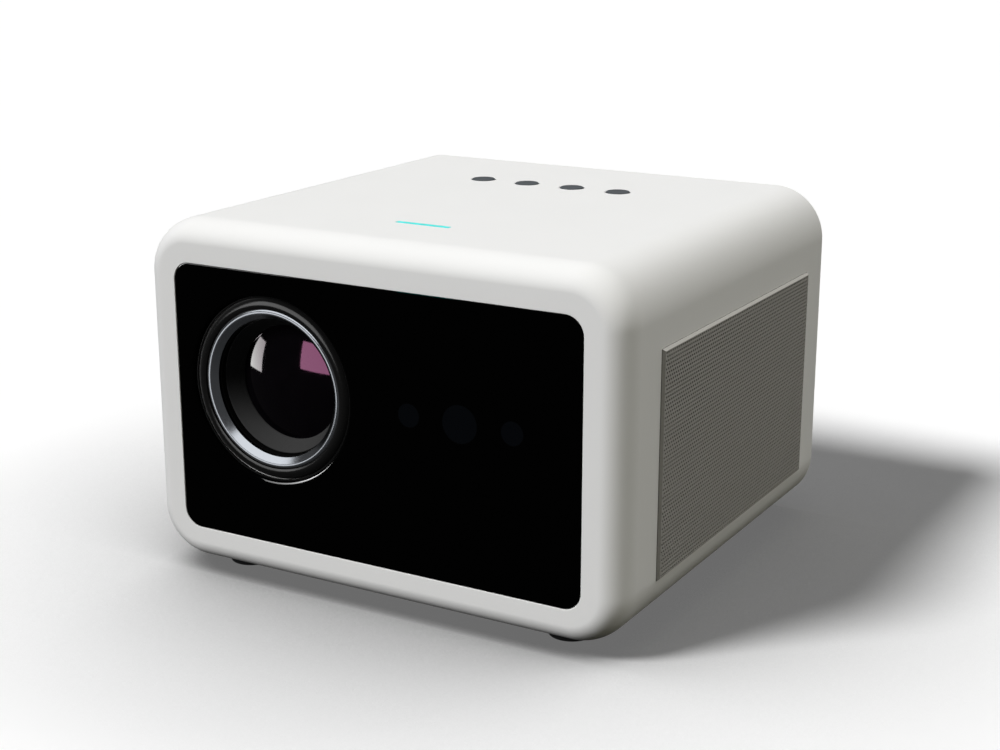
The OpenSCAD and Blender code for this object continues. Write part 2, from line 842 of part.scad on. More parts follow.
// Sliding barrel with the dark cone in front of the first element and a key that stops it turning
module lens_barrel() {
    color(black) in_frame() on_lens_axis(0) {
        rotate_extrude() polygon([
            [barrel_r, barrel_front], [barrel_r, barrel_back], [barrel_bore_r, barrel_back],
            [barrel_bore_r, element_seat], [view_r, element_seat], [view_r, barrel_front + cone_d],
            [barrel_r - barrel_rim, barrel_front]]);
        translate([-key_w / 2, -barrel_r - key_h, key_front])
            cube([key_w, key_h + barrel_wall / 2, barrel_back - key_room - key_front]);
    }
}

module front_element() {
    color(clear_glass) in_frame() on_lens_axis(element_seat)
        lens_element(element_r, front_edge_t, view_r - run_gap, front_sag, -front_hollow);
}

module front_spacer() {
    color(dark) in_frame() on_lens_axis(front_spacer_y) ring(element_r, spacer_in_r, front_spacer_l);
}

module middle_element() {
    color(clear_glass) in_frame() on_lens_axis(middle_y)
        lens_element(element_r, middle_edge_t, clear_r, middle_sag, middle_sag);
}

module rear_spacer() {
    color(dark) in_frame() on_lens_axis(rear_spacer_y) ring(element_r, spacer_in_r, rear_spacer_l);
}

module rear_element() {
    color(clear_glass) in_frame() on_lens_axis(rear_y)
        lens_element(element_r, rear_edge_t, clear_r, -rear_hollow, rear_sag);
}

module element_retainer() {
    color(dark) in_frame() on_lens_axis(retainer_y) ring(element_r, spacer_in_r, retainer_l);
}

// Fixed tube that guides the barrel, with a flange on the engine and an ear for the motor
module lens_tube() {
    color(dark) in_frame() on_lens_axis(tube_front) difference() {
        union() {
            cylinder(r = tube_r, h = tube_l);
            translate([0, 0, tube_l - tube_flange_t]) linear_extrude(tube_flange_t)
                rounded_rect(engine_w - tube_flange_in, engine_h - tube_flange_drop, tube_flange_r);
            linear_extrude(ear_t) {
                translate(motor_at) circle(motor_r + ear_rim);
                rotate(motor_angle) translate([0, -motor_r]) square([motor_reach, 2 * motor_r]);
            }
        }
        translate([0, 0, -cut]) cylinder(r = barrel_r + run_gap, h = tube_l + 2 * cut);
        translate([-key_w / 2 - fit_gap, -barrel_r - key_h - fit_gap, -cut])
            cube([key_w + 2 * fit_gap, barrel_r, tube_l - tube_flange_t + cut]);
        translate([motor_at[0], motor_at[1], -cut])
            cylinder(r = motor_boss_r + run_gap, h = ear_t + 2 * cut);
    }
}

// Toothed ring on the barrel's screw thread: turning it drives the barrel along
module focus_ring() {
    color([0.85, 0.85, 0.8]) in_frame() on_lens_axis(0) difference() {
        union() {
            translate([0, 0, ring_front]) cylinder(r = ring_pitch_r - 1.5 * gear_module, h = ring_l);
            translate([0, 0, gear_front]) linear_extrude(gear_w) rotate(motor_angle)
                polygon(gear_outline(ring_teeth, gear_module));
        }
        translate([0, 0, ring_front - cut]) cylinder(r = barrel_r + run_gap, h = ring_l + 2 * cut);
    }
}

module focus_pinion() {
    color([0.85, 0.85, 0.8]) in_frame() on_lens_axis(0) translate(motor_at) {
        translate([0, 0, gear_front]) linear_extrude(gear_w) rotate(motor_angle + 180 - 180 / pinion_teeth)
            polygon(gear_outline(pinion_teeth, gear_module));
        translate([0, 0, gear_front])
            cylinder(r = motor_shaft_r, h = tube_front + ear_t + shaft_reach - gear_front);
    }
}

module focus_motor() {
    color(steel) in_frame() on_lens_axis(tube_front) translate(motor_at) difference() {
        union() {
            cylinder(r = motor_boss_r, h = ear_t + cut);
            translate([0, 0, ear_t]) cylinder(r = motor_r, h = motor_l);
            translate([0, 0, ear_t + motor_l - cut]) cylinder(r = motor_r / 2, h = motor_cap_l + cut);
        }
        translate([0, 0, -cut])
            cylinder(r = motor_shaft_r + run_gap, h = ear_t + shaft_reach + shaft_room + cut);
    }
}

function plate_y(i) = engine_front + plate_first + i * plate_pitch;
function plate_t(i) = [2, 2.4, 1.6, 2][i];

// Box of the light engine, open at the top, with ribs that hold the optical plates upright
module engine_box() {
    color(dark) in_frame() difference() {
        union() {
            difference() {
                translate([lens_x - engine_w / 2, engine_front, engine_low])
                    cube([engine_w, engine_l, engine_h]);
                translate([lens_x - engine_in_w / 2, engine_front + engine_wall, engine_low + engine_wall])
                    cube([engine_in_w, engine_l - 2 * engine_wall, engine_h]);
            }
            for (i = [0 : 3], sx = [-1, 1], y = [-seat_gap - rib_t, plate_t(i) + seat_gap])
                translate([lens_x + sx * (engine_in_w - rib_d + cut) / 2, plate_y(i) + y, engine_low])
                    translate([-(rib_d + cut) / 2, 0, engine_wall - cut])
                        cube([rib_d + cut, rib_t, engine_in_h + cut]);
            on_lens_axis(engine_back - engine_wall - condenser_edge_t)
                ring(condenser_r + condenser_seat_t, condenser_r + run_gap, condenser_edge_t + cut);
        }
        on_lens_axis(engine_front - cut) cylinder(r = element_r - 1, h = engine_wall + 2 * cut);
        on_lens_axis(engine_back - engine_wall - cut)
            cylinder(r = light_hole_r, h = engine_wall + 2 * cut);
    }
}

module engine_lid() {
    color(dark) in_frame() translate([lens_x - engine_w / 2, engine_front, engine_low + engine_h])
        cube([engine_w, engine_l, lid_t]);
}

// One optical plate of the engine, standing on the floor of the box between its ribs
module engine_plate(i) {
    translate([lens_x - engine_in_w / 2 + seat_gap, plate_y(i), engine_low + engine_wall])
        cube([engine_in_w - 2 * seat_gap, plate_t(i), engine_in_h - seat_gap]);
}

module front_fresnel() {
    color(clear_glass) in_frame() engine_plate(0);
}

module lcd_panel() {
    in_w = engine_in_w - 2 * lcd_margin;
    in_h = engine_in_h - 2 * lcd_margin;
    color([0.1, 0.11, 0.14]) in_frame() difference() {
        engine_plate(1);
        translate([lens_x - in_w / 2, plate_y(1) - cut, engine_low + engine_wall + lcd_margin])
            cube([in_w, cut + lcd_sink, in_h]);
    }
}

module heat_glass() {
    color(clear_glass) in_frame() engine_plate(2);
}

module rear_fresnel() {
    color(clear_glass) in_frame() engine_plate(3);
}

module condenser_lens() {
    color(clear_glass) in_frame() on_lens_axis(engine_back - engine_wall - condenser_edge_t)
        lens_element(condenser_r, condenser_edge_t, condenser_r - condenser_rim, condenser_sag, 0);
}

module led_board() {
    color([0.72, 0.45, 0.28]) in_frame() on_lens_axis(engine_back) {
        linear_extrude(led_board_t) square(led_board_side, center = true);
        translate([0, 0, -led_t]) cylinder(r = led_r, h = led_t + led_board_t / 2);
    }
}

module heat_sink() {
    n = floor((fan_side - fin_t) / 2 / fin_pitch);
    color([0.7, 0.71, 0.73]) in_frame() on_lens_axis(sink_front) {
        linear_extrude(sink_base_t) square(fan_side, center = true);
        for (i = [-n : n]) translate([i * fin_pitch - fin_t / 2, -fan_side / 2, sink_base_t - cut])
            cube([fin_t, fan_side, sink_d - sink_base_t + cut]);
    }
}

module fan_frame() {
    color(black) in_frame() on_lens_axis(fan_front) difference() {
        union() {
            difference() {
                linear_extrude(fan_d) rounded_rect(fan_side, fan_side, fan_corner_r);
                translate([0, 0, -cut]) cylinder(r = fan_bore_r, h = fan_d + 2 * cut);
            }
            for (a = [45 : 90 : 315]) rotate(a) translate([hub_r / 2, -strut_w / 2, fan_d - strut_t])
                cube([fan_bore_r - hub_r / 2 + cut, strut_w, strut_t]);
            translate([0, 0, fan_d - strut_t]) cylinder(r = hub_r - rotor_gap, h = strut_t);
            translate([0, 0, bearing_front]) cylinder(r = bearing_r, h = fan_d - bearing_front);
        }
        translate([0, 0, -cut]) cylinder(r = fan_shaft_r + run_gap, h = fan_d + 2 * cut);
    }
}

// Cup-shaped hub on a shaft, with slanted blades
module fan_rotor() {
    color(dark) in_frame() on_lens_axis(fan_front + rotor_gap) {
        rotate_extrude() {
            square([hub_r, hub_skin]);
            translate([hub_r - hub_skin, 0]) square([hub_skin, blade_l]);
            square([fan_shaft_r, fan_d - 2 * rotor_gap]);
        }
        intersection() {
            ring(fan_bore_r - rotor_gap, hub_r - hub_skin / 2, blade_l);
            for (i = [0 : fan_blades - 1]) rotate(i * 360 / fan_blades)
                translate([(hub_r + fan_bore_r) / 2, 0, blade_l / 2]) rotate([48, 0, 0])
                    cube([fan_bore_r, 3 * blade_l, blade_t], center = true);
        }
    }
}

module dust_filter() {
    color(dark) in_frame() from_front(filter_x, cover_in - filter_t, lens_height)
        linear_extrude(filter_t) rounded_rect(filter_w, filter_h, filter_r);
}

// Main board with a finned chip, two memories and a row of capacitors
module main_board() {
    chip_y = main_board_front + chip_back;
    chip_x = main_board_left + main_board_w / 2;
    fin_x = (chip_side - 5 * chip_fin_pitch - chip_fin_t) / 2;
    color(board_green) in_frame() {
        translate([main_board_left, main_board_front, main_board_z])
            cube([main_board_w, board_back - main_board_front, board_t]);
        translate([chip_x - chip_side / 2, chip_y - chip_side / 2, main_board_top - cut]) {
            cube([chip_side, chip_side, chip_t + cut]);
            for (i = [0 : 5]) translate([fin_x + i * chip_fin_pitch, 0, 0])
                cube([chip_fin_t, chip_side, chip_fin_h + cut]);
        }
        for (sx = [-1, 1])
            translate([chip_x + sx * chip_side - memory_w / 2, chip_y - memory_l / 2, main_board_top - cut])
                cube([memory_w, memory_l, memory_t + cut]);
        for (x = port_x) translate([x, main_board_front + main_can_in, main_board_z])
            cylinder(r = main_can_r, h = main_can_h + board_t);
    }
}

// Socket shell with a tongue inside, open to the back
module socket(x, w, h, d) {
    translate([x - w / 2, port_back - d, main_board_top]) difference() {
        cube([w, d, h]);
        difference() {
            translate([socket_skin, socket_floor, socket_skin])
                cube([w - 2 * socket_skin, d, h - 2 * socket_skin]);
            translate([w / 4, 0, (h - tongue_t) / 2]) cube([w / 2, d - socket_floor, tongue_t]);
        }
    }
}

module hdmi_socket() {
    color(steel) in_frame() socket(port_x[0], hdmi_w, hdmi_h, hdmi_d);
}

module usb_sockets() {
    color(steel) in_frame() for (i = [1, 2]) socket(port_x[i], usb_w, usb_h, usb_d);
}

module audio_jack() {
    color(black) in_frame() from_front(port_x[3], port_back - jack_d, main_board_top + jack_r)
        difference() {
            union() {
                cylinder(r = jack_r, h = jack_d);
                translate([-jack_r, -jack_r, 0]) cube([2 * jack_r, 2 * jack_r, jack_d - wall - cut]);
            }
            translate([0, 0, jack_floor]) cylinder(r = jack_bore_r, h = jack_d);
        }
}

// Power board with its transformer, capacitor, choke and cooling plate
module power_board() {
    mid_y = (power_board_front + board_back - inlet_d) / 2;
    color([0.55, 0.42, 0.2]) in_frame() {
        translate([lens_x - power_board_w / 2, power_board_front, power_board_z])
            cube([power_board_w, board_back - power_board_front, board_t]);
        translate([lens_x - coil_x, mid_y - coil_l / 2, power_board_z]) cube([coil_w, coil_l, coil_h]);
        translate([lens_x - power_can_x, mid_y - 2 * power_can_r, power_board_z])
            cylinder(r = power_can_r, h = power_can_h);
        translate([lens_x - power_can_x, mid_y + coil_l / 2, power_board_top + choke_wire_r - cut])
            rotate_extrude() translate([choke_r, 0]) circle(choke_wire_r);
        translate([lens_x + power_plate_t, mid_y - coil_l, power_board_z])
            cube([power_plate_w, power_plate_t, power_plate_h]);
    }
}

// Mains inlet with a figure-eight mouth and two pins
module mains_inlet() {
    color(black) in_frame() from_front(inlet_x, port_back - inlet_d, inlet_z) {
        difference() {
            translate([-inlet_w / 2, -inlet_h / 2, 0]) cube([inlet_w, inlet_h, inlet_d]);
            translate([0, 0, inlet_d - inlet_mouth_d]) linear_extrude(inlet_mouth_d + cut) {
                for (sx = [-1, 1]) translate([sx * inlet_reach, 0]) circle(inlet_end_r);
                square([2 * inlet_reach, 2 * inlet_end_r], center = true);
            }
        }
        for (sx = [-1, 1]) translate([sx * inlet_reach, 0, inlet_d - inlet_mouth_d - cut])
            cylinder(r = pin_r, h = inlet_mouth_d - pin_clear + cut);
    }
}

// Speaker frame and magnet behind the side wall
module speaker(side) {
    basket_d = speaker_d - magnet_d;
    color(black) in_frame() from_side(side, side_in, grille_y, grille_z) rotate_extrude() difference() {
        polygon([[0, 0], [speaker_r, 0], [speaker_r, speaker_flange_t],
            [cone_r + cone_seat, speaker_flange_t], [magnet_r + cone_seat, basket_d],
            [magnet_r, basket_d], [magnet_r, speaker_d], [0, speaker_d]]);
        polygon([[0, -cut], [cone_r, -cut], [cone_r, cone_seat],
            [magnet_r - 2 * cone_seat, basket_d - cone_seat], [0, basket_d - cone_seat]]);
    }
}

// Paper cone with its rubber roll and dust cap, seated on the slope of the frame
module speaker_cone(side) {
    deep = speaker_d - magnet_d - 2 * cone_seat;
    rim_r = cone_r - cone_gap;
    fold_r = cone_r - cone_roll;
    fold = 1.5 * cone_seat;
    color(dark) in_frame() from_side(side, side_in, grille_y, grille_z) rotate_extrude() {
        polygon([[rim_r, cone_seat - cone_skin], [rim_r, cone_seat], [fold_r, fold], [cap_r, deep],
            [0, deep], [0, deep - cone_skin], [cap_r - cone_skin, deep - cone_skin],
            [fold_r - cone_skin, fold - cone_skin]]);
        translate([cone_r - 2 * cone_seat, cone_roll_r - 2 * cone_gap]) circle(cone_roll_r);
    }
}

module sensor_board() {
    color(board_green) in_frame() from_front(sensor_x, sensor_board_y, lens_height)
        linear_extrude(board_t) square([sensor_board_w, sensor_board_h], center = true);
}

// Sensor can from the back of the glass to the board, with a small lens set in its face
module sensor(i, r) {
    from_front(sensor_x + i * sensor_pitch, panel_back, lens_height) rotate_extrude() difference() {
        square([r, sensor_board_y - panel_back]);
        square([r - sensor_rim, sensor_face]);
        translate([0, sensor_face]) dome_section(r - sensor_lens_rim, sensor_lens_sag);
    }
}

module camera_sensor() {
    color(black) in_frame() sensor(0, camera_r);
}

module outer_sensors() {
    color(dark) in_frame() for (i = [-1, 1]) sensor(i, small_sensor_r);
}

housing();
front_glass();
rear_cover();
port_plate();
rear_cover_screws();
grille(-1);  // grille_left
grille(1);  // grille_right
foot(-1, foot_end);  // foot_front_left
foot(1, foot_end);  // foot_front_right
foot(-1, body_d - foot_end);  // foot_rear_left
foot(1, body_d - foot_end);  // foot_rear_right
tripod_insert();
chassis();
top_button(1);  // top_button_1
top_button(2);  // top_button_2
top_button(3);  // top_button_3
top_button(4);  // top_button_4
button_board();
button_switches();
light_bar();
light_bar_board();
nose_ring();
chrome_ring();
lens_barrel();
front_element();
front_spacer();
middle_element();
rear_spacer();
rear_element();
element_retainer();
lens_tube();
focus_ring();
focus_pinion();
focus_motor();
engine_box();
engine_lid();
front_fresnel();
lcd_panel();
heat_glass();
rear_fresnel();
condenser_lens();
led_board();
heat_sink();
fan_frame();
fan_rotor();
dust_filter();
main_board();
hdmi_socket();
usb_sockets();
audio_jack();
power_board();
mains_inlet();
speaker(-1);  // speaker_left
speaker(1);  // speaker_right
speaker_cone(-1);  // speaker_cone_left
speaker_cone(1);  // speaker_cone_right
sensor_board();
camera_sensor();
outer_sensors();
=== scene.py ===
"""Looks of a compact table-top video projector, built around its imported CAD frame."""

import json
import logging
import math
from dataclasses import dataclass
from enum import Enum, IntEnum
from typing import Any, Callable, Iterable, Optional, Protocol, Sequence, Union

import bmesh
import bpy
import numpy as np
from mathutils import Matrix, Vector


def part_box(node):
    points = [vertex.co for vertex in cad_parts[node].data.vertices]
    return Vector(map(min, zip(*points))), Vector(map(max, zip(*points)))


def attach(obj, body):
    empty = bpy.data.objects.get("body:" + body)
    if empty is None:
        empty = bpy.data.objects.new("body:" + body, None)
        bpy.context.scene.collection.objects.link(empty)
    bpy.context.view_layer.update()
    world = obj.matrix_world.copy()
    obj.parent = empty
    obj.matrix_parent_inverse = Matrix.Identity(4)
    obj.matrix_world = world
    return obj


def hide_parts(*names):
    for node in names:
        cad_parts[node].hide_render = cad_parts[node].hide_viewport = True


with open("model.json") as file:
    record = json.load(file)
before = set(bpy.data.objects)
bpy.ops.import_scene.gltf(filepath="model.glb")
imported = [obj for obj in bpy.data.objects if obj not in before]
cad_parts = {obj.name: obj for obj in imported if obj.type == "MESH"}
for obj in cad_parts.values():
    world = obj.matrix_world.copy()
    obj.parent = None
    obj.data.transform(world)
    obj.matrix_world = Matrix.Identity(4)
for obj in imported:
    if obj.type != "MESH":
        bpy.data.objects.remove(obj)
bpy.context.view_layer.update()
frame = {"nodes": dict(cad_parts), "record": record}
SUBPARTS = frame["record"]["subparts"]
LOG = logging.getLogger("projector")
MM = 0.001

Colour = tuple[float, float, float]
Pair = tuple[float, float]
Triple = tuple[float, float, float]
Quad = tuple[float, float, float, float]


class Body(Enum):
    """CAD bodies that pieces ride on."""

    CASE = "projector"
    LENS = "lens_carriage"
    BUTTON_1 = "button_1"
    BUTTON_2 = "button_2"
    BUTTON_3 = "button_3"
    BUTTON_4 = "button_4"


class Wire:
    """An output socket whose arithmetic adds Math nodes to its tree."""

    def __init__(self, net: "Net", socket: Optional[bpy.types.NodeSocket]) -> None:
        """Keeps the tree and the socket; a node that ends a tree has none."""
        self.net = net
        self.socket = socket

    def _math(self, operation: str, *terms: "Number") -> "Wire":
        """Adds one Math node.

        Args:
            operation: Name of the Math node's operation.
            terms: Its operands in order, as wires or numbers.

        Returns:
            The node's result.
        """
        return self.net.node("ShaderNodeMath", {"operation": operation}, dict(enumerate(terms)))

    def __add__(self, other: "Number") -> "Wire":
        """Sum."""
        return self._math("ADD", self, other)

    def __radd__(self, other: "Number") -> "Wire":
        """Sum with a number on the left."""
        return self._math("ADD", other, self)

    def __sub__(self, other: "Number") -> "Wire":
        """Difference."""
        return self._math("SUBTRACT", self, other)

    def __rsub__(self, other: "Number") -> "Wire":
        """Difference with a number on the left."""
        return self._math("SUBTRACT", other, self)

    def __mul__(self, other: "Number") -> "Wire":
        """Product."""
        return self._math("MULTIPLY", self, other)

    def __rmul__(self, other: "Number") -> "Wire":
        """Product with a number on the left."""
        return self._math("MULTIPLY", other, self)

    def __truediv__(self, other: "Number") -> "Wire":
        """Quotient."""
        return self._math("DIVIDE", self, other)

    def __lt__(self, other: "Number") -> "Wire":
        """One where this is the smaller, else zero."""
        return self._math("LESS_THAN", self, other)

    def __gt__(self, other: "Number") -> "Wire":
        """One where this is the larger, else zero."""
        return self._math("GREATER_THAN", self, other)

    def __abs__(self) -> "Wire":
        """Size without sign."""
        return self._math("ABSOLUTE", self)

    def off_middle(self, pitch: float) -> "Wire":
        """Distance from the middle between two whole multiples of a pitch."""
        return abs(self._math("FLOORED_MODULO", self, pitch) - pitch / 2)

    def root(self) -> "Wire":
        """Square root."""
        return self._math("SQRT", self)

    def step(self, low: float, high: float) -> "Wire":
        """Smooth rise from zero at one value to one at another.

        Args:
            low: Value at which the rise starts.
            high: Value at which it ends.

        Returns:
            A wire between zero and one.
        """
        limits = {"Value": self, "From Min": low, "From Max": high}
        return self.net.node("ShaderNodeMapRange", {"interpolation_type": "SMOOTHSTEP"}, limits)


Number = Union[Wire, float]
Input = Union[Wire, float, Sequence[float]]


class Ray(Enum):
    """Kinds of ray that see the pale floor and sky, and how much of them each sees."""

    CAMERA = ("Is Camera Ray", 1.0)
    GLOSSY = ("Is Glossy Ray", 0.12)
    TRANSMISSION = ("Is Transmission Ray", 1.0)

    @property
    def socket(self) -> str:
        """Output of the Light Path node."""
        return self.value[0]

    @property
    def share(self) -> float:
        """Share of the pale colour."""
        return self.value[1]


class Net:
    """Node tree of one material or of the sky."""

    def __init__(self, name: str, sky: bool = False) -> None:
        """Makes an empty material of that name, or a sky.

        Args:
            name: Name of the material or the sky.
            sky: Whether it is the sky.
        """
        self.owner = (bpy.data.worlds if sky else bpy.data.materials).new(name)
        self.owner.use_nodes = True
        self.tree = self.owner.node_tree
        self.tree.nodes.clear()

    def node(self, kind: str, settings: Optional[dict[str, Any]] = None,
             inputs: Optional[dict[Any, Input]] = None, output: Union[int, str] = 0) -> Wire:
        """Adds a node, sets it up and feeds it.

        Args:
            kind: Blender's type name of the node.
            settings: Attributes of the node, which are set first.
            inputs: Values or wires by socket name or number.
            output: Which output to return.

        Returns:
            The chosen output.
        """
        made = self.tree.nodes.new(kind)
        for name, value in (settings or {}).items():
            setattr(made, name, value)
        for key, value in (inputs or {}).items():
            self.feed(made.inputs[key], value)
        return Wire(self, made.outputs[output] if made.outputs else None)

    def feed(self, socket: bpy.types.NodeSocket, value: Input) -> None:
        """Links a wire to a socket, or sets its value.

        Args:
            socket: Input of a node.
            value: What feeds it.
        """
        if isinstance(value, Wire):
            self.tree.links.new(value.socket, socket)
        elif isinstance(value, (int, float)):
            socket.default_value = value
        else:
            socket.default_value = (*value, 1.0) if socket.type == "RGBA" else tuple(value)

    def place(self) -> Wire:
        """Place on the object in its own frame, in metres."""
        return self.node("ShaderNodeTexCoord", output="Object")

    def parts(self, vector: Wire) -> tuple[Wire, Wire, Wire]:
        """Splits a vector into its three numbers.

        Args:
            vector: The vector.

        Returns:
            Its x, y and z.
        """
        split = self.tree.nodes.new("ShaderNodeSeparateXYZ")
        self.feed(split.inputs[0], vector)
        return tuple(Wire(self, output) for output in split.outputs)

    def stretch(self, vector: Wire, factors: Triple) -> Wire:
        """Scales a vector axis by axis."""
        return self.node("ShaderNodeVectorMath", {"operation": "MULTIPLY"}, {0: vector, 1: factors})

    def noise(self, vector: Wire, size: float, detail: float = 2.0) -> Wire:
        """Cloudy noise between zero and one.

        Args:
            vector: Place on the object.
            size: Size of its clouds in metres.
            detail: Number of finer layers.

        Returns:
            The noise.
        """
        return self.node("ShaderNodeTexNoise", None, {"Vector": vector, "Scale": 1 / size, "Detail": detail})

    def cells(self, vector: Wire, size: float, feature: str = "F1") -> Wire:
        """Distance from the middle or the edge of random cells of that size, in cells."""
        return self.node("ShaderNodeTexVoronoi", {"feature": feature}, {"Vector": vector, "Scale": 1 / size})

    def disc(self, x: Wire, z: Wire, centre: Pair, radius: float, soft: float) -> Wire:
        """One in a circle seen from the front, and zero outside it, with a soft edge within."""
        off_x, off_z = x - centre[0], z - centre[1]
        return 1 - (off_x * off_x + off_z * off_z).root().step(radius - soft, radius)

    def blend(self, factor: Number, low: Input, high: Input) -> Wire:
        """Mixes two colours."""
        return self.node("ShaderNodeMix", {"data_type": "RGBA"}, {0: factor, 6: low, 7: high}, output=2)

    def bump(self, height: Wire, depth: float) -> Wire:
        """Normal of a surface whose relief is that height times a depth in metres."""
        return self.node("ShaderNodeBump", None, {"Height": height, "Distance": depth})

    def seen(self) -> Wire:
        """How much of the pale floor and sky a ray sees."""
        return sum((self.node("ShaderNodeLightPath", output=ray.socket) * ray.share for ray in Ray), 0.0)

    def surface(self, **sockets: Input) -> bpy.types.Material:
        """Ends the tree in a Principled shader.

        Args:
            sockets: Values or wires by socket name, with _ for each space.

        Returns:
            The finished material.
        """
        named = {name.replace("_", " "): value for name, value in sockets.items()}
        shader = self.node("ShaderNodeBsdfPrincipled", None, named)
        self.node("ShaderNodeOutputMaterial", None, {"Surface": shader})
        return self.owner


def shade(colour: Colour, factor: float) -> Colour:
    """Colour made darker or lighter by a factor."""
    return tuple(min(1.0, c * factor) for c in colour)


class Finish(Protocol):
    """Anything that makes a material."""

    def material(self) -> bpy.types.Material:
        """Makes the material."""


@dataclass(frozen=True)
class Moulding:
    """Moulded plastic, rubber or paint: a fine grain, faint mottling and a soft sheen."""

    name: str
    colour: Colour
    roughness: float
    grain_size: float = 0.35 * MM
    grain_depth: float = 0.006 * MM
    mottle: float = 0.03
    sheen_spread: float = 0.06
    gloss_level: float = 0.5
    cloud_size: float = 18 * MM
    cloud_share: float = 0.6

    def material(self) -> bpy.types.Material:
        """Makes the material.

        Returns:
            The finished material.
        """
        net = Net(self.name)
        place = net.place()
        cloud = net.noise(place, self.cloud_size)
        grain = net.noise(place, self.grain_size, 3.0)
        mixed = cloud * self.cloud_share + grain * (1 - self.cloud_share)
        dark, pale = (shade(self.colour, 1 + turn * self.mottle) for turn in (-1, 1))
        return net.surface(
            Base_Color=net.blend(mixed, dark, pale),
            Roughness=self.roughness + (grain - 0.5) * self.sheen_spread + (cloud - 0.5) * self.sheen_spread,
            Specular_IOR_Level=self.gloss_level,
            Normal=net.bump(grain, self.grain_depth))


@dataclass(frozen=True)
class Metal:
    """Bare metal drawn along one axis, with hairlines, rubbed spots and slight tarnish."""

    name: str
    colour: Colour
    roughness: float
    drawn_along: Triple = (0.04, 1.0, 1.0)
    hairline: float = 0.12 * MM
    hairline_depth: float = 0.001 * MM
    tarnish: float = 0.12
    spot_size: float = 9 * MM
    line_spread: float = 0.1
    spot_spread: float = 0.12

    def material(self) -> bpy.types.Material:
        """Makes the material.

        Returns:
            The finished material.
        """
        net = Net(self.name)
        place = net.place()
        lines = net.noise(net.stretch(place, self.drawn_along), self.hairline, 3.0)
        spots = net.noise(place, self.spot_size, 4.0)
        rubbed = (lines - 0.5) * self.line_spread + (spots - 0.5) * self.spot_spread
        dull = shade(self.colour, 1 - self.tarnish)
        return net.surface(
            Base_Color=net.blend(lines * 0.5 + spots * 0.5, dull, self.colour),
            Metallic=1.0,
            Roughness=self.roughness + rubbed,
            Normal=net.bump(lines, self.hairline_depth))


@dataclass(frozen=True)
class PanelGlass:
    """Black front glass with a non-glare coat and faint round windows over the sensors."""

    name: str
    windows: tuple[Triple, ...]
    black: Colour = (0.0006, 0.0006, 0.0006)
    window: Colour = (0.0022, 0.0027, 0.0036)
    window_edge: float = 0.4 * MM
    film_size: float = 30 * MM
    gloss_level: float = 0.008

    def material(self) -> bpy.types.Material:
        """Makes the material.

        Returns:
            The finished material.
        """
        net = Net(self.name)
        place = net.place()
        x, _, z = net.parts(place)
        discs = (net.disc(x, z, (at_x, at_z), radius, self.window_edge)
                 for at_x, at_z, radius in self.windows)
        film = net.noise(place, self.film_size, 3.0)
        return net.surface(
            Base_Color=net.blend(sum(discs, 0.0), self.black, self.window),
            Roughness=0.05 + film * 0.04,
            Specular_IOR_Level=self.gloss_level)


@dataclass(frozen=True)
class CoatedGlass:
    """Lens glass seen against a dark barrel, with a coloured coat against glare."""

    name: str
    body: Colour = (0.0012, 0.001, 0.0014)
    coat: Colour = (1.0, 0.6, 0.85)
    gloss_level: float = 0.035
    film_size: float = 6 * MM

    def material(self) -> bpy.types.Material:
        """Makes the material.

        Returns:
            The finished material.
        """
        net = Net(self.name)
        film = net.noise(net.place(), self.film_size, 3.0)
        return net.surface(
            Base_Color=net.blend(film, self.body, shade(self.body, 2.0)),
            Roughness=0.04 + film * 0.02,
            Specular_IOR_Level=self.gloss_level,
            Specular_Tint=self.coat)


@dataclass(frozen=True)
class CircuitBoard:
    """Solder mask over fine copper tracks, with tinned pads."""

    name: str
    mask: Colour
    track: Colour
    track_pitch: float = 1.3 * MM
    track_edge: Pair = (0.22 * MM, 0.3 * MM)
    turn_size: float = 14 * MM
    pad_pitch: float = 4.5 * MM
    pad_radius: float = 0.12
    tin: Colour = (0.72, 0.72, 0.7)
    relief: float = 0.03 * MM

    def material(self) -> bpy.types.Material:
        """Makes the material.

        Returns:
            The finished material.
        """
        net = Net(self.name)
        place = net.place()
        x, y, _ = net.parts(place)
        turns = net.noise(place, self.turn_size, 1.0) > 0.5
        across = x * turns + y * (1 - turns)
        tracks = 1 - across.off_middle(self.track_pitch).step(*self.track_edge)
        pads = net.cells(place, self.pad_pitch) < self.pad_radius
        copper = net.blend(tracks * 0.8, self.mask, self.track)
        return net.surface(
            Base_Color=net.blend(pads, copper, self.tin),
            Metallic=pads * 0.9,
            Roughness=0.42 - tracks * 0.08,
            Normal=net.bump(tracks + pads, self.relief))


@dataclass(frozen=True)
class LightGuide:
    """Milky light pipe, lit from below by a row of small lamps."""

    name: str
    glow: Colour
    lamp_pitch: float = 5.5 * MM
    between: float = 0.86
    milk_size: float = 0.8 * MM

    def material(self) -> bpy.types.Material:
        """Makes the material.

        Returns:
            The finished material.
        """
        net = Net(self.name)
        place = net.place()
        x, _, _ = net.parts(place)
        off_lamp = x.off_middle(self.lamp_pitch) / self.lamp_pitch
        milk = net.noise(place, self.milk_size, 2.0)
        return net.surface(
            Base_Color=net.blend(milk, (0.02, 0.05, 0.05), (0.03, 0.07, 0.07)),
            Roughness=0.35 + milk * 0.1,
            Emission_Color=net.blend(off_lamp * 2, self.glow, shade(self.glow, self.between)),
            Emission_Strength=1.0)


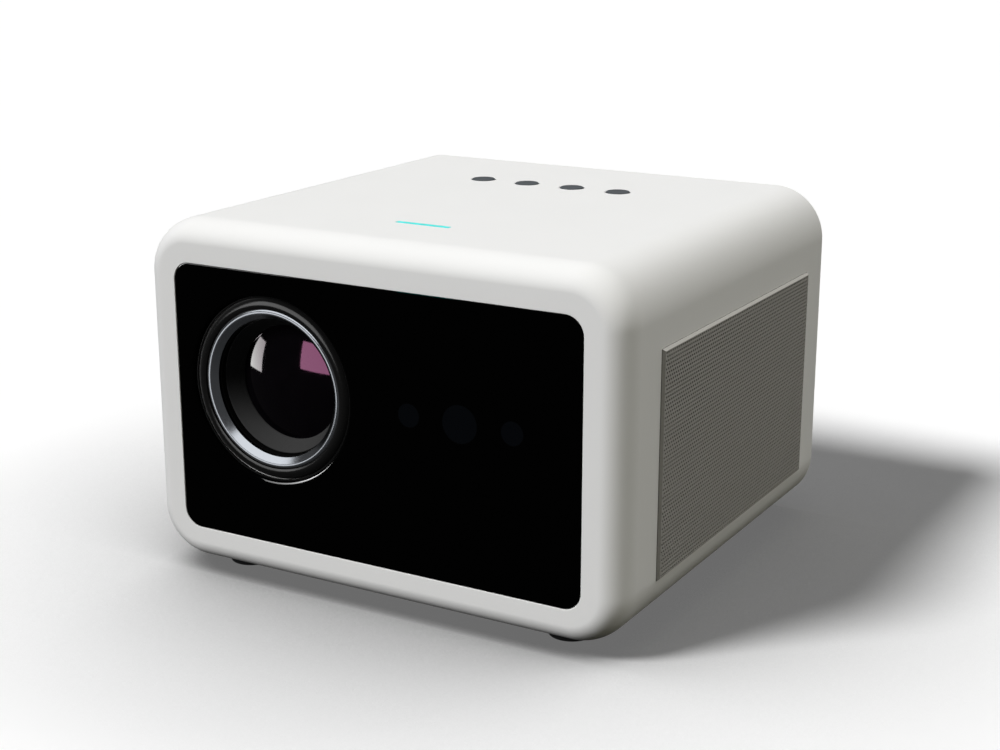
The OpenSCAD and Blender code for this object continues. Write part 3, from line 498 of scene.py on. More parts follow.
@dataclass(frozen=True)
class PixelGlass:
    """Display glass: a dark field with a fine grid of cells."""

    name: str
    pitch: float = 0.4 * MM
    half_cell: float = 0.44

    def material(self) -> bpy.types.Material:
        """Makes the material.

        Returns:
            The finished material.
        """
        net = Net(self.name)
        place = net.place()
        x, _, z = net.parts(place)
        column, row = (line.off_middle(self.pitch) > self.half_cell * self.pitch for line in (x, z))
        wires = column + row - column * row
        return net.surface(
            Base_Color=net.blend(wires, (0.03, 0.034, 0.05), (0.004, 0.004, 0.005)),
            Roughness=0.12 + wires * 0.2)


@dataclass(frozen=True)
class Foam:
    """Open-cell foam or felt, its pores painted darker as shade."""

    name: str
    colour: Colour
    cell: float = 0.9 * MM
    wall: Pair = (0.02, 0.2)
    relief: float = 0.25 * MM

    def material(self) -> bpy.types.Material:
        """Makes the material.

        Returns:
            The finished material.
        """
        net = Net(self.name)
        place = net.place()
        # Painted shade: the pores between the cell walls are painted at a quarter of the colour.
        unshaded_walls = 1 - net.cells(place, self.cell, "DISTANCE_TO_EDGE").step(*self.wall)
        return net.surface(
            Base_Color=net.blend(unshaded_walls, shade(self.colour, 0.25), self.colour),
            Roughness=0.9 - unshaded_walls * 0.1,
            Normal=net.bump(unshaded_walls, self.relief))


@dataclass(frozen=True)
class Lamp:
    """Copper-cored board with a yellow phosphor field round its middle."""

    name: str
    centre: Pair
    radius: float
    soft_edge: float = 0.3 * MM
    drawn_along: Triple = (0.05, 1.0, 1.0)
    hairline: float = 0.2 * MM
    phosphor: Colour = (0.9, 0.72, 0.12)

    def material(self) -> bpy.types.Material:
        """Makes the material.

        Returns:
            The finished material.
        """
        net = Net(self.name)
        place = net.place()
        x, _, z = net.parts(place)
        field = net.disc(x, z, self.centre, self.radius, self.soft_edge)
        lines = net.noise(net.stretch(place, self.drawn_along), self.hairline, 2.0)
        copper = net.blend(lines, (0.62, 0.3, 0.16), (0.78, 0.42, 0.25))
        return net.surface(
            Base_Color=net.blend(field, copper, self.phosphor),
            Metallic=1 - field,
            Roughness=0.35 + field * 0.3 + lines * 0.08)


Ring = list[Triple]
LEAST_ROUND = 0.01
QUARTERS = ((1, 1), (-1, 1), (-1, -1), (1, -1))


def arc(centre: Pair, radius: float, start: float, end: float, steps: int) -> list[Pair]:
    """Points along an arc.

    Args:
        centre: Centre of the arc.
        radius: Its radius.
        start: Angle of its first point, in degrees.
        end: Angle of its last point.
        steps: Number of chords.

    Returns:
        The points, both ends included.
    """
    angles = np.radians(np.linspace(start, end, steps + 1))
    return [(centre[0] + radius * math.cos(a), centre[1] + radius * math.sin(a)) for a in angles]


def outline(size: Pair, radius: float, centre: Pair, inset: float, steps: int = 20) -> list[Pair]:
    """Rounded rectangle, made smaller all round.

    Args:
        size: Its width and height before the inset.
        radius: Radius of its corners before the inset.
        centre: Its centre.
        inset: How far it is drawn in; less than zero makes it larger.
        steps: Chords in each corner.

    Returns:
        Its points, anticlockwise.
    """
    corner_r = max(radius - inset, LEAST_ROUND)
    across, up = ((side - 2 * inset) / 2 - corner_r for side in size)
    points: list[Pair] = []
    for turn, (x, y) in enumerate(QUARTERS):
        corner = (centre[0] + x * across, centre[1] + y * up)
        points += arc(corner, corner_r, 90.0 * turn, 90.0 * turn + 90, steps)
    return points


def upright(points: Iterable[Pair], y: float) -> Ring:
    """Points drawn as seen from the front, at one depth."""
    return [(a, y, b) for a, b in points]


def level(points: Iterable[Pair], z: float) -> Ring:
    """Points drawn as seen from above, at one height."""
    return [(a, b, z) for a, b in points]


def sideways(points: Iterable[Pair], x: float) -> Ring:
    """Points drawn as seen from the side, at one place across."""
    return [(x, a, b) for a, b in points]


@dataclass(frozen=True)
class Spindle:
    """Axis that a profile is turned about, in millimetres."""

    origin: Triple
    along: Triple = (0.0, 0.0, 1.0)
    across: Triple = (1.0, 0.0, 0.0)

    def ring(self, radius: float, reach: float, steps: int) -> Ring:
        """Circle about the axis.

        Args:
            radius: Its radius.
            reach: Its place along the axis.
            steps: Number of its points; a radius of zero gives a single point.

        Returns:
            Its points.
        """
        along, across = Vector(self.along), Vector(self.across)
        centre = Vector(self.origin) + along * reach
        if radius == 0:
            return [tuple(centre)]
        side = along.cross(across)
        turns = np.linspace(0, 2 * math.pi, steps, endpoint=False)
        return [tuple(centre + (across * math.cos(t) + side * math.sin(t)) * radius) for t in turns]


class Shape:
    """Mesh under construction, in millimetres of the part's frame."""

    def __init__(self) -> None:
        """Starts empty."""
        self.work = bmesh.new()

    def ring(self, points: Iterable[Sequence[float]]) -> list[bmesh.types.BMVert]:
        """Adds points to the mesh."""
        return [self.work.verts.new(Vector(point) * MM) for point in points]

    def band(self, first: Sequence[bmesh.types.BMVert], second: Sequence[bmesh.types.BMVert]) -> None:
        """Joins two rings of equal count, or a ring and a single point.

        Args:
            first: One ring.
            second: The next one.
        """
        count = max(len(first), len(second))
        for here in range(count):
            after = (here + 1) % count
            corners = [first[here % len(first)], first[after % len(first)],
                       second[after % len(second)], second[here % len(second)]]
            self.work.faces.new(list(dict.fromkeys(corners)))

    def loft(self, rings: Sequence[Ring], caps: bool = True) -> "Shape":
        """Skins a row of rings.

        Args:
            rings: Rings of equal count, in order.
            caps: Whether the first and last ring are closed by a face; if not, they are joined.

        Returns:
            This shape.
        """
        loops = [self.ring(points) for points in rings]
        for first, second in zip(loops, loops[1:]):
            self.band(first, second)
        if not caps:
            self.band(loops[-1], loops[0])
        else:
            for end in (loops[0], loops[-1]):
                if len(end) > 2:
                    self.work.faces.new(end)
        return self

    def lathe(self, profile: Sequence[Pair], spindle: Spindle, steps: int, hollow: bool = False) -> "Shape":
        """Turns a profile of radius and reach about an axis.

        Args:
            profile: Its points; a radius of zero is a point on the axis.
            spindle: The axis.
            steps: Number of points round it.
            hollow: Whether the profile's last point joins its first, as in a ring.

        Returns:
            This shape.
        """
        return self.loft([spindle.ring(r, reach, steps) for r, reach in profile], caps=not hollow)

    def slab(self, rings: Sequence[tuple[Pair, float, float, float]], centre: Pair,
             face: Callable[[Iterable[Pair], float], Ring], steps: int = 20) -> "Shape":
        """Skins rounded rectangles set one behind the other.

        Args:
            rings: Size, corner radius, inset and place of each.
            centre: Their centre in their plane.
            face: Function that stands them in the frame.
            steps: Chords in each corner.

        Returns:
            This shape.
        """
        return self.loft([face(outline(size, radius, centre, inset, steps), place)
                          for size, radius, inset, place in rings])

    def mesh(self, name: str) -> bpy.types.Mesh:
        """Closes the work with outward normals and returns it as a mesh.

        Args:
            name: Name of the mesh.

        Returns:
            The mesh.
        """
        bmesh.ops.recalc_face_normals(self.work, faces=self.work.faces[:])
        made = bpy.data.meshes.new(name)
        self.work.to_mesh(made)
        self.work.free()
        return made


def stand(name: str, data: bpy.types.ID) -> bpy.types.Object:
    """Puts an object that shows a mesh, a lamp or a camera into the scene.

    Args:
        name: Name of the object.
        data: What it shows.

    Returns:
        The object.
    """
    made = bpy.data.objects.new(name, data)
    bpy.context.scene.collection.objects.link(made)
    return made


def cut(mesh: bpy.types.Mesh, cutter: bpy.types.Mesh) -> bpy.types.Mesh:
    """Takes one solid out of another.

    Args:
        mesh: What is cut.
        cutter: What is taken out.

    Returns:
        The mesh that is left.
    """
    work, tool = stand("cut_work", mesh), stand("cut_tool", cutter)
    step = work.modifiers.new("cut", "BOOLEAN")
    step.operation, step.solver, step.object = "DIFFERENCE", "EXACT", tool
    made = bpy.data.meshes.new_from_object(work.evaluated_get(bpy.context.evaluated_depsgraph_get()))
    name = mesh.name
    for each in (work, tool):
        spent = each.data
        bpy.data.objects.remove(each)
        bpy.data.meshes.remove(spent)
    made.name = name
    return made


class Bench:
    """Where a mesh gets its finish, its body and the CAD node it stands for."""

    weld: float = 0.002 * MM
    flat_angle: float = 1.0
    edge_angle: float = 40.0
    edge_segments: int = 2

    def __init__(self, finishes: dict[str, Finish]) -> None:
        """Keeps the finishes by material slot."""
        self.finishes = finishes
        self.mixed: dict[str, bpy.types.Material] = {}

    def paint(self, slot: str) -> bpy.types.Material:
        """Material of a slot, made the first time it is asked for.

        Args:
            slot: Name of the slot.

        Returns:
            The material.
        """
        if slot not in self.mixed:
            self.mixed[slot] = self.finishes[slot].material()
        return self.mixed[slot]

    def settle(self, mesh: bpy.types.Mesh, body: Body, slot: str, nodes: Sequence[str] = (),
               more: Sequence[str] = (), sharp: float = 35.0) -> bpy.types.Object:
        """Makes a piece of a mesh and puts it in its place.

        Args:
            mesh: The mesh, which gives the piece its name.
            body: CAD body that the piece rides on.
            slot: Material slot of its finish.
            nodes: CAD nodes that it stands for.
            more: Slots of further finishes on it.
            sharp: Angle in degrees above which an edge stays sharp; zero keeps all faces flat.

        Returns:
            The piece.
        """
        mesh.materials.clear()
        for each in (slot, *more):
            mesh.materials.append(self.paint(each))
        if sharp:
            mesh.shade_smooth()
            mesh.set_sharp_from_angle(angle=math.radians(sharp))
        made = stand(mesh.name, mesh)
        if sharp:
            even = made.modifiers.new("even_shading", "WEIGHTED_NORMAL")
            even.keep_sharp = True
        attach(made, body.value)
        if nodes:
            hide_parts(*nodes)
        LOG.info("%s: %d faces on %s", made.name, len(mesh.polygons), body.value)
        return made

    def soften(self, node: str, name: str, width: float) -> None:
        """Puts a rounded copy of a CAD node of the case in its place.

        Args:
            node: Name of the CAD node.
            name: Name of the piece.
            width: Width of the rounding on its edges, in millimetres.
        """
        mesh = frame["nodes"][node].data.copy()
        mesh.name = name
        work = bmesh.new()
        work.from_mesh(mesh)
        bmesh.ops.remove_doubles(work, verts=work.verts[:], dist=self.weld)
        flat = math.radians(self.flat_angle)
        bmesh.ops.dissolve_limit(work, angle_limit=flat, verts=work.verts[:], edges=work.edges[:])
        work.to_mesh(mesh)
        work.free()
        slot = next(part["material_slot"] for part in SUBPARTS if part["node"] == node)
        made = self.settle(mesh, Body.CASE, slot, [node])
        edge = made.modifiers.new("soft_edges", "BEVEL")
        edge.width, edge.segments, edge.limit_method = width * MM, self.edge_segments, "ANGLE"
        edge.angle_limit = math.radians(self.edge_angle)
        made.modifiers.move(1, 0)

    def dress(self) -> None:
        """Gives every CAD node that still shows its finish."""
        for part in SUBPARTS:
            node = frame["nodes"][part["node"]]
            node.data.materials.clear()
            node.data.materials.append(self.paint(part["material_slot"]))
        LOG.info("CAD nodes dressed: %d", len(SUBPARTS))


# Names of pieces that lamps and reflections are tied to
FLOOR, SHELL, PANE, SEAL = "floor", "housing_shell", "front_glass_pane", "lens_seal"
NOSE, CHROME, SLEEVE, GLASS = "lens_nose_trim", "lens_bright_trim", "lens_sleeve", "lens_front_glass"

# Places that several pieces share, in millimetres of the part's frame
LENS_X, LENS_Z = -41.0, 73.995
FRONT_Y, BACK_Y = -86.0, 86.0
LENS_AXIS = Spindle((LENS_X, FRONT_Y, LENS_Z), (0.0, 1.0, 0.0))
LENS_STEPS = 160
TOP_Z = 130.4
PANE_MID: Pair = (0.0, 66.6)
PANE_SEAT = 2.2
BUTTONS_X: tuple[float, ...] = (-29.4, -9.8, 9.8, 29.4)
BUTTONS_Y = 40.75
BAR_Y = -50.0
FEET_AT: Pair = (67.2, 65.5)
GRILLE_MID: Pair = (5.55, 61.5)
GRILLE_BACK = 94.4
SENSORS: tuple[Pair, ...] = ((16.25, 4.4), (35.9, 6.85), (55.55, 4.4))
SENSOR_RIM = 0.1


def drum(radius: float, low: float, high: float) -> list[Pair]:
    """Profile of a plain solid cylinder between two places on its axis."""
    return [(0.0, low), (radius, low), (radius, high), (0.0, high)]


@dataclass
class Housing:
    """White shell: a rounded tube that is closed in front, where the glass lies in a pocket."""

    size: Pair = (190.0, 126.4)
    mid: Pair = (0.0, 67.2)
    corner: float = 19.6
    front_round: float = 8.0
    front_depth: float = 12.0
    round_steps: int = 16
    wall: float = 2.6
    front_wall: float = 4.8
    rim_round: float = 0.4
    pocket: Pair = (161.8, 98.0)
    pocket_corner: float = 6.7
    pocket_edge: float = 0.3
    pocket_steps: int = 3
    lens_hole: float = 32.5
    lens_cut: Pair = (-1.0, 9.0)
    sensor_cut: Pair = (1.0, 9.0)
    top_cut: Pair = (TOP_Z - 4, TOP_Z + 1)
    button_hole: float = 4.8
    button_edge: float = 0.25
    light_slot: Pair = (21.7, 2.8)
    slot_corner: float = 0.5
    grille_pocket: Pair = (129.7, 79.4)
    grille_corner: float = 0.4
    grille_cut: Pair = (GRILLE_BACK, GRILLE_BACK + 3)
    peg_hole: float = 3.1
    insert_hole: float = 4.7
    floor_cut: Pair = (3.0, 8.0)
    button_steps: int = 64
    bore_steps: int = 48
    peg_steps: int = 32
    slot_steps: int = 6
    grille_steps: int = 4

    def shell_ring(self, inset: float, y: float) -> Ring:
        """Body's outline, inset all round, at one depth."""
        return upright(outline(self.size, self.corner, self.mid, inset), y)

    def pocket_ring(self, grow: float, depth: float) -> Ring:
        """Outline of the glass's pocket, grown all round, at one depth behind the front."""
        return upright(outline(self.pocket, self.pocket_corner, PANE_MID, -grow), FRONT_Y + depth)

    def shell(self) -> Shape:
        """Closed skin of the shell, from the pocket round the outside to the inner face.

        Returns:
            The shape.
        """
        rings = [self.pocket_ring(0, PANE_SEAT)]
        edge = self.pocket_edge
        for out, down in arc((edge, edge), edge, 180, 270, self.pocket_steps):
            rings.append(self.pocket_ring(out, down))
        for across, along in arc((0.0, 0.0), 1.0, 90, 0, self.round_steps):
            inset, depth = self.front_round * (1 - across), self.front_depth * (1 - along)
            rings.append(self.shell_ring(inset, FRONT_Y + depth))
        for inset, y in ((0, BACK_Y - self.rim_round), (self.rim_round, BACK_Y), (self.wall, BACK_Y),
                         (self.wall, FRONT_Y + self.front_wall)):
            rings.append(self.shell_ring(inset, y))
        return Shape().loft(rings)

    def openings(self) -> Shape:
        """All that is cut out of the shell.

        Returns:
            The cutters as one shape.
        """
        tool = Shape().lathe(drum(self.lens_hole, *self.lens_cut), LENS_AXIS, LENS_STEPS)
        low, high = self.top_cut
        wide = self.button_hole + self.button_edge
        hole = [(0.0, low), (self.button_hole, low), (self.button_hole, TOP_Z - self.button_edge),
                (wide, TOP_Z), (wide, high), (0.0, high)]
        for x in BUTTONS_X:
            tool.lathe(hole, Spindle((x, BUTTONS_Y, 0.0)), self.button_steps)
        tool.slab([(self.light_slot, self.slot_corner, 0, z) for z in self.top_cut],
                  (0.0, BAR_Y), level, self.slot_steps)
        for side in (-1, 1):
            tool.slab([(self.grille_pocket, self.grille_corner, 0, side * x) for x in self.grille_cut],
                      GRILLE_MID, sideways, self.grille_steps)
            for end in (-1, 1):
                peg = Spindle((side * FEET_AT[0], end * FEET_AT[1], 0.0))
                tool.lathe(drum(self.peg_hole, *self.floor_cut), peg, self.peg_steps)
        tool.lathe(drum(self.insert_hole, *self.floor_cut), Spindle((0.0, 0.0, 0.0)), self.bore_steps)
        for x, radius in SENSORS:
            eye = Spindle((x, FRONT_Y, LENS_Z), (0.0, 1.0, 0.0))
            tool.lathe(drum(radius, *self.sensor_cut), eye, self.bore_steps)
        return tool

    def build(self, bench: Bench) -> None:
        """Builds the shell, opens it and puts it in place."""
        mesh = cut(self.shell().mesh(SHELL), self.openings().mesh("housing_openings"))
        bench.settle(mesh, Body.CASE, "shell_plastic", ["housing"], sharp=30.0)


@dataclass
class FrontGlass:
    """Black glass in the front pocket, and the seal that lies round the lens behind it."""

    size: Pair = (161.4, 97.6)
    corner: float = 6.5
    face: float = 0.2
    edge: float = 0.06
    hole: float = 33.1
    hole_round: float = 1.5
    hole_steps: int = 10
    hole_cut: Pair = (-1.0, 4.0)
    seal: Pair = (32.35, 33.05)
    seal_top: float = 1.7
    seal_edge: float = 0.2

    def build(self, bench: Bench) -> None:
        """Builds the glass and its seal.

        Args:
            bench: Where the pieces get their finish and place.
        """
        y = FRONT_Y
        plate = Shape().slab([(self.size, self.corner, 0, y + PANE_SEAT),
                              (self.size, self.corner, 0, y + self.face + self.edge),
                              (self.size, self.corner, self.edge, y + self.face)], PANE_MID, upright)
        wide, turn = self.hole + self.hole_round, self.face + self.hole_round
        lip = arc((wide, turn), self.hole_round, 270, 180, self.hole_steps)
        front, back = self.hole_cut
        mouth = [(0.0, front), (wide, front), *lip, (self.hole, back), (0.0, back)]
        tool = Shape().lathe(mouth, LENS_AXIS, LENS_STEPS)
        pane = cut(plate.mesh(PANE), tool.mesh("glass_mouth"))
        bench.settle(pane, Body.CASE, "front_glass_black", ["front_glass"], sharp=30.0)
        (inner, outer), top, edge = self.seal, self.seal_top, self.seal_edge
        lip = [(inner, PANE_SEAT), (inner, top + edge), (inner + edge, top), (outer - edge, top),
               (outer, top + edge), (outer, PANE_SEAT)]
        ring = Shape().lathe(lip, LENS_AXIS, LENS_STEPS, hollow=True)
        bench.settle(ring.mesh(SEAL), Body.CASE, "lens_trim_black")


@dataclass
class Lens:
    """Trim rings round the lens, and the sliding barrel with the first element."""

    nose_round: Triple = (29.85, 3.35, 2.45)
    nose_in: float = 28.55
    nose_out: float = 32.3
    nose_back: float = 9.7
    nose_steps: int = 28
    flange: float = 39.0
    flange_span: Pair = (4.8, 7.3)
    chrome_round: Triple = (27.4, 2.5, 1.1)
    chrome_turn: float = 0.4
    chrome_gap: float = 0.15
    chrome_start: float = 135.0
    chrome_steps: int = 20
    chrome_edge_steps: int = 6
    seat: float = 5.0
    ledge: float = 24.6
    barrel: float = 24.3
    barrel_front: float = 6.8
    barrel_back: float = 44.0
    barrel_edge: float = 0.15
    bore: float = 21.6
    rim: float = 23.9
    view: float = 20.7
    cone_end: float = 12.9
    cone_steps: int = 12
    cone_tread: float = 0.8
    cone_rise: float = 0.07
    element_seat: float = 13.4
    element: float = 21.55
    element_edge: float = 4.0
    element_turn: float = 0.1
    dome: Pair = (20.65, 3.7)
    dome_steps: int = 28
    hollow: float = 2.0
    key: Pair = (4.0, 17.7)
    key_y: float = -52.85
    key_height: float = 2.0
    key_corner: float = 0.4
    key_edge: float = 0.2
    key_steps: int = 4

    def cap(self, radius: float, sag: float, seat: float) -> list[Pair]:
        """Profile of a shallow dome, from its edge to the axis.

        Args:
            radius: Radius of its edge.
            sag: Its height in front of the edge.
            seat: Depth of its edge.

        Returns:
            Its points.
        """
        ball = (radius * radius + sag * sag) / (2 * sag)
        points = []
        for r in np.linspace(radius, 0, self.dome_steps + 1):
            rise = math.sqrt(ball * ball - r * r) - (ball - sag)
            points.append((float(r), seat - rise))
        return points

    def crown(self, turned: Triple, start: float, steps: int) -> list[Pair]:
        """Profile of a ring's round front, from an angle on its inside to its outer flank.

        Args:
            turned: Radius and depth of its centre, and its own radius.
            start: Angle of its first point, in degrees from the outer flank.
            steps: Number of chords.

        Returns:
            Its points.
        """
        centre_r, centre_d, radius = turned
        return [(r, 2 * centre_d - d) for r, d in arc((centre_r, centre_d), radius, start, 0, steps)]

    def nose(self) -> Shape:
        """Black ring with a round nose and a flange behind the front wall.

        Returns:
            The shape.
        """
        centre_r, _, radius = self.nose_round
        start = math.degrees(math.acos((self.nose_in - centre_r) / radius))
        front, back = self.flange_span
        profile = [(self.nose_in, self.seat), *self.crown(self.nose_round, start, self.nose_steps),
                   (self.nose_out, front), (self.flange, front), (self.flange, back), (self.nose_out, back),
                   (self.nose_out, self.nose_back), (self.ledge, self.nose_back), (self.ledge, self.seat)]
        return Shape().lathe(profile, LENS_AXIS, LENS_STEPS, hollow=True)

    def chrome(self) -> Shape:
        """Bright ring with a round crest, a bevelled flank and a rounded inner edge.

        Returns:
            The shape.
        """
        centre_r, _, radius = self.chrome_round
        crown = self.crown(self.chrome_round, self.chrome_start, self.chrome_steps)
        inner = self.ledge + self.chrome_gap
        bend = math.sqrt(0.5) * self.chrome_turn
        turn_r = inner + self.chrome_turn
        turn_d = sum(crown[0]) - (turn_r - bend) + bend
        edge = arc((turn_r, turn_d), self.chrome_turn, 180, 225, self.chrome_edge_steps)
        profile = [(inner, self.seat), *edge, *crown, (centre_r + radius, self.seat)]
        return Shape().lathe(profile, LENS_AXIS, LENS_STEPS, hollow=True)

    def tube(self) -> Shape:
        """Barrel with a stepped cone in front of the first element, and its key below.

        Returns:
            The shape.
        """
        cone = []
        for i in range(self.cone_steps):
            here, after = i / self.cone_steps, (i + self.cone_tread) / self.cone_steps
            for share, lift in ((here, 0.0), (after, 0.0), (after, self.cone_rise)):
                r = self.rim + (self.view - self.rim) * share
                cone.append((r - lift, self.barrel_front + (self.cone_end - self.barrel_front) * share))
        profile = [(self.barrel, self.barrel_front + self.barrel_edge), (self.barrel, self.barrel_back),
                   (self.bore, self.barrel_back), (self.bore, self.element_seat),
                   (self.view, self.element_seat), (self.view, self.cone_end), *reversed(cone),
                   (self.barrel - self.barrel_edge, self.barrel_front)]
        made = Shape().lathe(profile, LENS_AXIS, LENS_STEPS, hollow=True)
        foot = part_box("lens_barrel")[0][2] / MM
        rings = ((self.key_edge, 0.0), (0.0, self.key_edge), (0.0, self.key_height))
        return made.slab([(self.key, self.key_corner, inset, foot + rise) for inset, rise in rings],
                         (LENS_X, self.key_y), level, self.key_steps)

    def front_element(self) -> Shape:
        """First element: domed in front, hollow behind.

        Returns:
            The shape.
        """
        back = self.element_seat + self.element_edge
        front_cap = self.cap(*self.dome, self.element_seat)
        back_cap = self.cap(self.dome[0], self.hollow, back)
        profile = [*reversed(front_cap), (self.element - self.element_turn, self.element_seat),
                   (self.element, self.element_seat + self.element_turn), (self.element, back), *back_cap]
        return Shape().lathe(profile, LENS_AXIS, LENS_STEPS)

    def build(self, bench: Bench) -> None:
        """Builds the rings on the case, and the barrel and the element on the carriage.

        Args:
            bench: Where the pieces get their finish and place.
        """
        bench.settle(self.nose().mesh(NOSE), Body.CASE, "lens_trim_black", ["nose_ring"])
        bench.settle(self.chrome().mesh(CHROME), Body.CASE, "lens_trim_chrome", ["chrome_ring"])
        bench.settle(self.tube().mesh(SLEEVE), Body.LENS, "lens_barrel_black", ["lens_barrel"], sharp=20.0)
        glass = bench.settle(self.front_element().mesh(GLASS), Body.LENS, "lens_glass", ["front_element"])
        glass.visible_diffuse = False


class GrillePaint(IntEnum):
    """Numbers of the finishes on a grille."""

    METAL = 0
    CLOTH = 1
    EDGE = 2


@dataclass
class Grille:
    """Perforated side plate whose edge faces are painted pale as a highlight, and whose blind holes have
    floors painted black as the shade behind them.
    """

    side: int
    node: str
    size: Pair = (129.3, 79.0)
    face: float = 96.0
    bevel: float = 0.75
    border: float = 0.8
    columns: int = 82
    rows: int = 57
    hole: float = 0.46
    hole_depth: float = 0.95
    hole_sides: int = 8

    def plate(self) -> Shape:
        """Plate with bevelled edges, open where the holes lie.

        Returns:
            The shape.
        """
        made = Shape()
        loops = []
        for inset, x in ((0.0, GRILLE_BACK), (0.0, self.face - self.bevel), (self.bevel, self.face),
                         (self.border, self.face)):
            across, up = (side / 2 - inset for side in self.size)
            corners = [(GRILLE_MID[0] + a * across, GRILLE_MID[1] + b * up) for a, b in QUARTERS]
            loops.append(made.ring(sideways(corners, self.side * x)))
        for first, second in zip(loops, loops[1:]):
            made.band(first, second)
        made.work.faces.new(loops[0])
        return made

    def field(self) -> tuple[np.ndarray, list[list[int]], list[int]]:
        """Staggered rows of blind holes.

        Returns:
            Points in millimetres, faces, and the material number of each face.
        """
        wide, tall = self.size[0] - 2 * self.border, self.size[1] - 2 * self.border
        pitch, row = wide / self.columns, tall / self.rows
        n = self.hole_sides
        turns = np.arange(n) * 2 * math.pi / n
        circle = np.stack([np.cos(turns), np.sin(turns)], axis=1)
        square = np.sign(np.round(circle, 6)) * (pitch / 2, row / 2)
        floor = np.full((n, 1), self.face - self.hole_depth)
        flat = np.full((n, 1), self.face)
        unit = np.concatenate([np.hstack([flat, square]), np.hstack([flat, circle * self.hole]),
                               np.hstack([floor, circle * self.hole])])
        ring = [(k, (k + 1) % n) for k in range(n)]
        pattern = [[a, b, n + b, n + a] for a, b in ring]
        pattern += [[n + a, n + b, 2 * n + b, 2 * n + a] for a, b in ring]
        pattern.append([2 * n + a for a, _ in ring])
        # Painted shade: each hole's floor takes a near-black finish, standing in for the shade behind the
        # perforations.
        paints = [GrillePaint.METAL] * (2 * n) + [GrillePaint.CLOTH]
        points, faces, numbers = [], [], []
        count = 0
        for j in range(self.rows):
            z = GRILLE_MID[1] - tall / 2 + (j + 0.5) * row
            shift = 0.5 * (j % 2)
            for i in range(self.columns - j % 2):
                y = GRILLE_MID[0] - wide / 2 + (i + 0.5 + shift) * pitch
                points.append(unit + (0.0, y, z))
                faces += [[count + k for k in face] for face in pattern]
                numbers += paints
                count += len(unit)
            if j % 2:
                for end in (-1, 1):
                    y = GRILLE_MID[0] + end * (wide / 2 - pitch / 4)
                    half = [(self.face, y + a * pitch / 4, z + b * row / 2) for a, b in QUARTERS]
                    points.append(np.array(half))
                    faces.append([count, count + 1, count + 2, count + 3])
                    numbers.append(GrillePaint.METAL)
                    count += 4
        return np.concatenate(points), faces, numbers

    def build(self, bench: Bench) -> None:
        """Builds the plate with its holes and puts it in place.

        Args:
            bench: Where the pieces get their finish and place.
        """
        points, faces, numbers = self.field()
        edge = self.plate().mesh("grille_edge")
        rim = [[v + len(points) for v in face.vertices] for face in edge.polygons]
        points[:, 0] *= self.side
        if self.side < 0:
            faces = [face[::-1] for face in faces]
        corners = [tuple(v.co) for v in edge.vertices]
        bpy.data.meshes.remove(edge)
        mesh = bpy.data.meshes.new(self.node + "_perforated")
        mesh.from_pydata([*map(tuple, points * MM), *corners], [], faces + rim)
        # Painted highlight: the plate's edge faces take the pale shell finish, standing in for the light the
        # edges catch.
        mesh.polygons.foreach_set("material_index", numbers + [GrillePaint.EDGE] * len(rim))
        # Painted shade for the hole floors, painted highlight for the plate's edges.
        more = ["grille_hole_shade", "shell_plastic"]
        bench.settle(mesh, Body.CASE, "grille_metal", [self.node], more, sharp=0)


@dataclass
class TopControls:
    """Four push buttons and the light bar in the top."""

    radius: float = 4.5
    top: float = 130.7
    edge: float = 0.35
    dish: float = 0.15
    bowl: tuple[float, ...] = (0.85, 0.65, 0.45, 0.25, 0.0)
    flange: float = 5.6
    flange_span: Pair = (126.3, 127.5)
    stem: Pair = (2.0, 123.8)
    rim_steps: int = 5
    button_steps: int = 72
    bar: Pair = (21.4, 2.5)
    bar_corner: float = 0.45
    bar_edge: float = 0.15
    bar_foot: float = 123.4
    bar_flange: Pair = (26.0, 6.0)
    bar_flange_corner: float = 0.8
    bar_flange_span: Pair = (126.6, 127.8)
    bar_steps: int = 8

    def button(self, x: float) -> Shape:
        """Button with a rounded rim, a shallow dish, its flange and its stem.

        Args:
            x: Its place across.

        Returns:
            The shape.
        """
        inner = self.radius - self.edge
        rim = arc((inner, self.top - self.edge), self.edge, 0, 90, self.rim_steps)
        bowl = [(inner * k, self.top - self.dish * (1 - k * k)) for k in self.bowl]
        (stem_r, stem_low), (low, high) = self.stem, self.flange_span
        profile = [(0.0, stem_low), (stem_r, stem_low), (stem_r, low), (self.flange, low),
                   (self.flange, high), (self.radius, high), *rim, *bowl]
        return Shape().lathe(profile, Spindle((x, BUTTONS_Y, 0.0)), self.button_steps)

    def light(self) -> Shape:
        """Light bar with rounded ends, its flange under the top and its foot on the board.

        Returns:
            The shape.
        """
        bar, flange = (self.bar, self.bar_corner), (self.bar_flange, self.bar_flange_corner)
        low, high = self.bar_flange_span
        rings = [(*bar, 0, self.bar_foot), (*bar, 0, low), (*flange, 0, low), (*flange, 0, high),
                 (*bar, 0, high), (*bar, 0, TOP_Z - self.bar_edge), (*bar, self.bar_edge, TOP_Z)]
        return Shape().slab(rings, (0.0, BAR_Y), level, self.bar_steps)

    def build(self, bench: Bench) -> None:
        """Builds the buttons, each on its own body, and the light bar on the case.

        Args:
            bench: Where the pieces get their finish and place.
        """
        for number, x in enumerate(BUTTONS_X, 1):
            mesh = self.button(x).mesh(f"button_cap_{number}")
            bench.settle(mesh, Body(f"button_{number}"), "button_plastic", [f"top_button_{number}"])
        bench.settle(self.light().mesh("light_bar_lit"), Body.CASE, "light_guide", ["light_bar"])


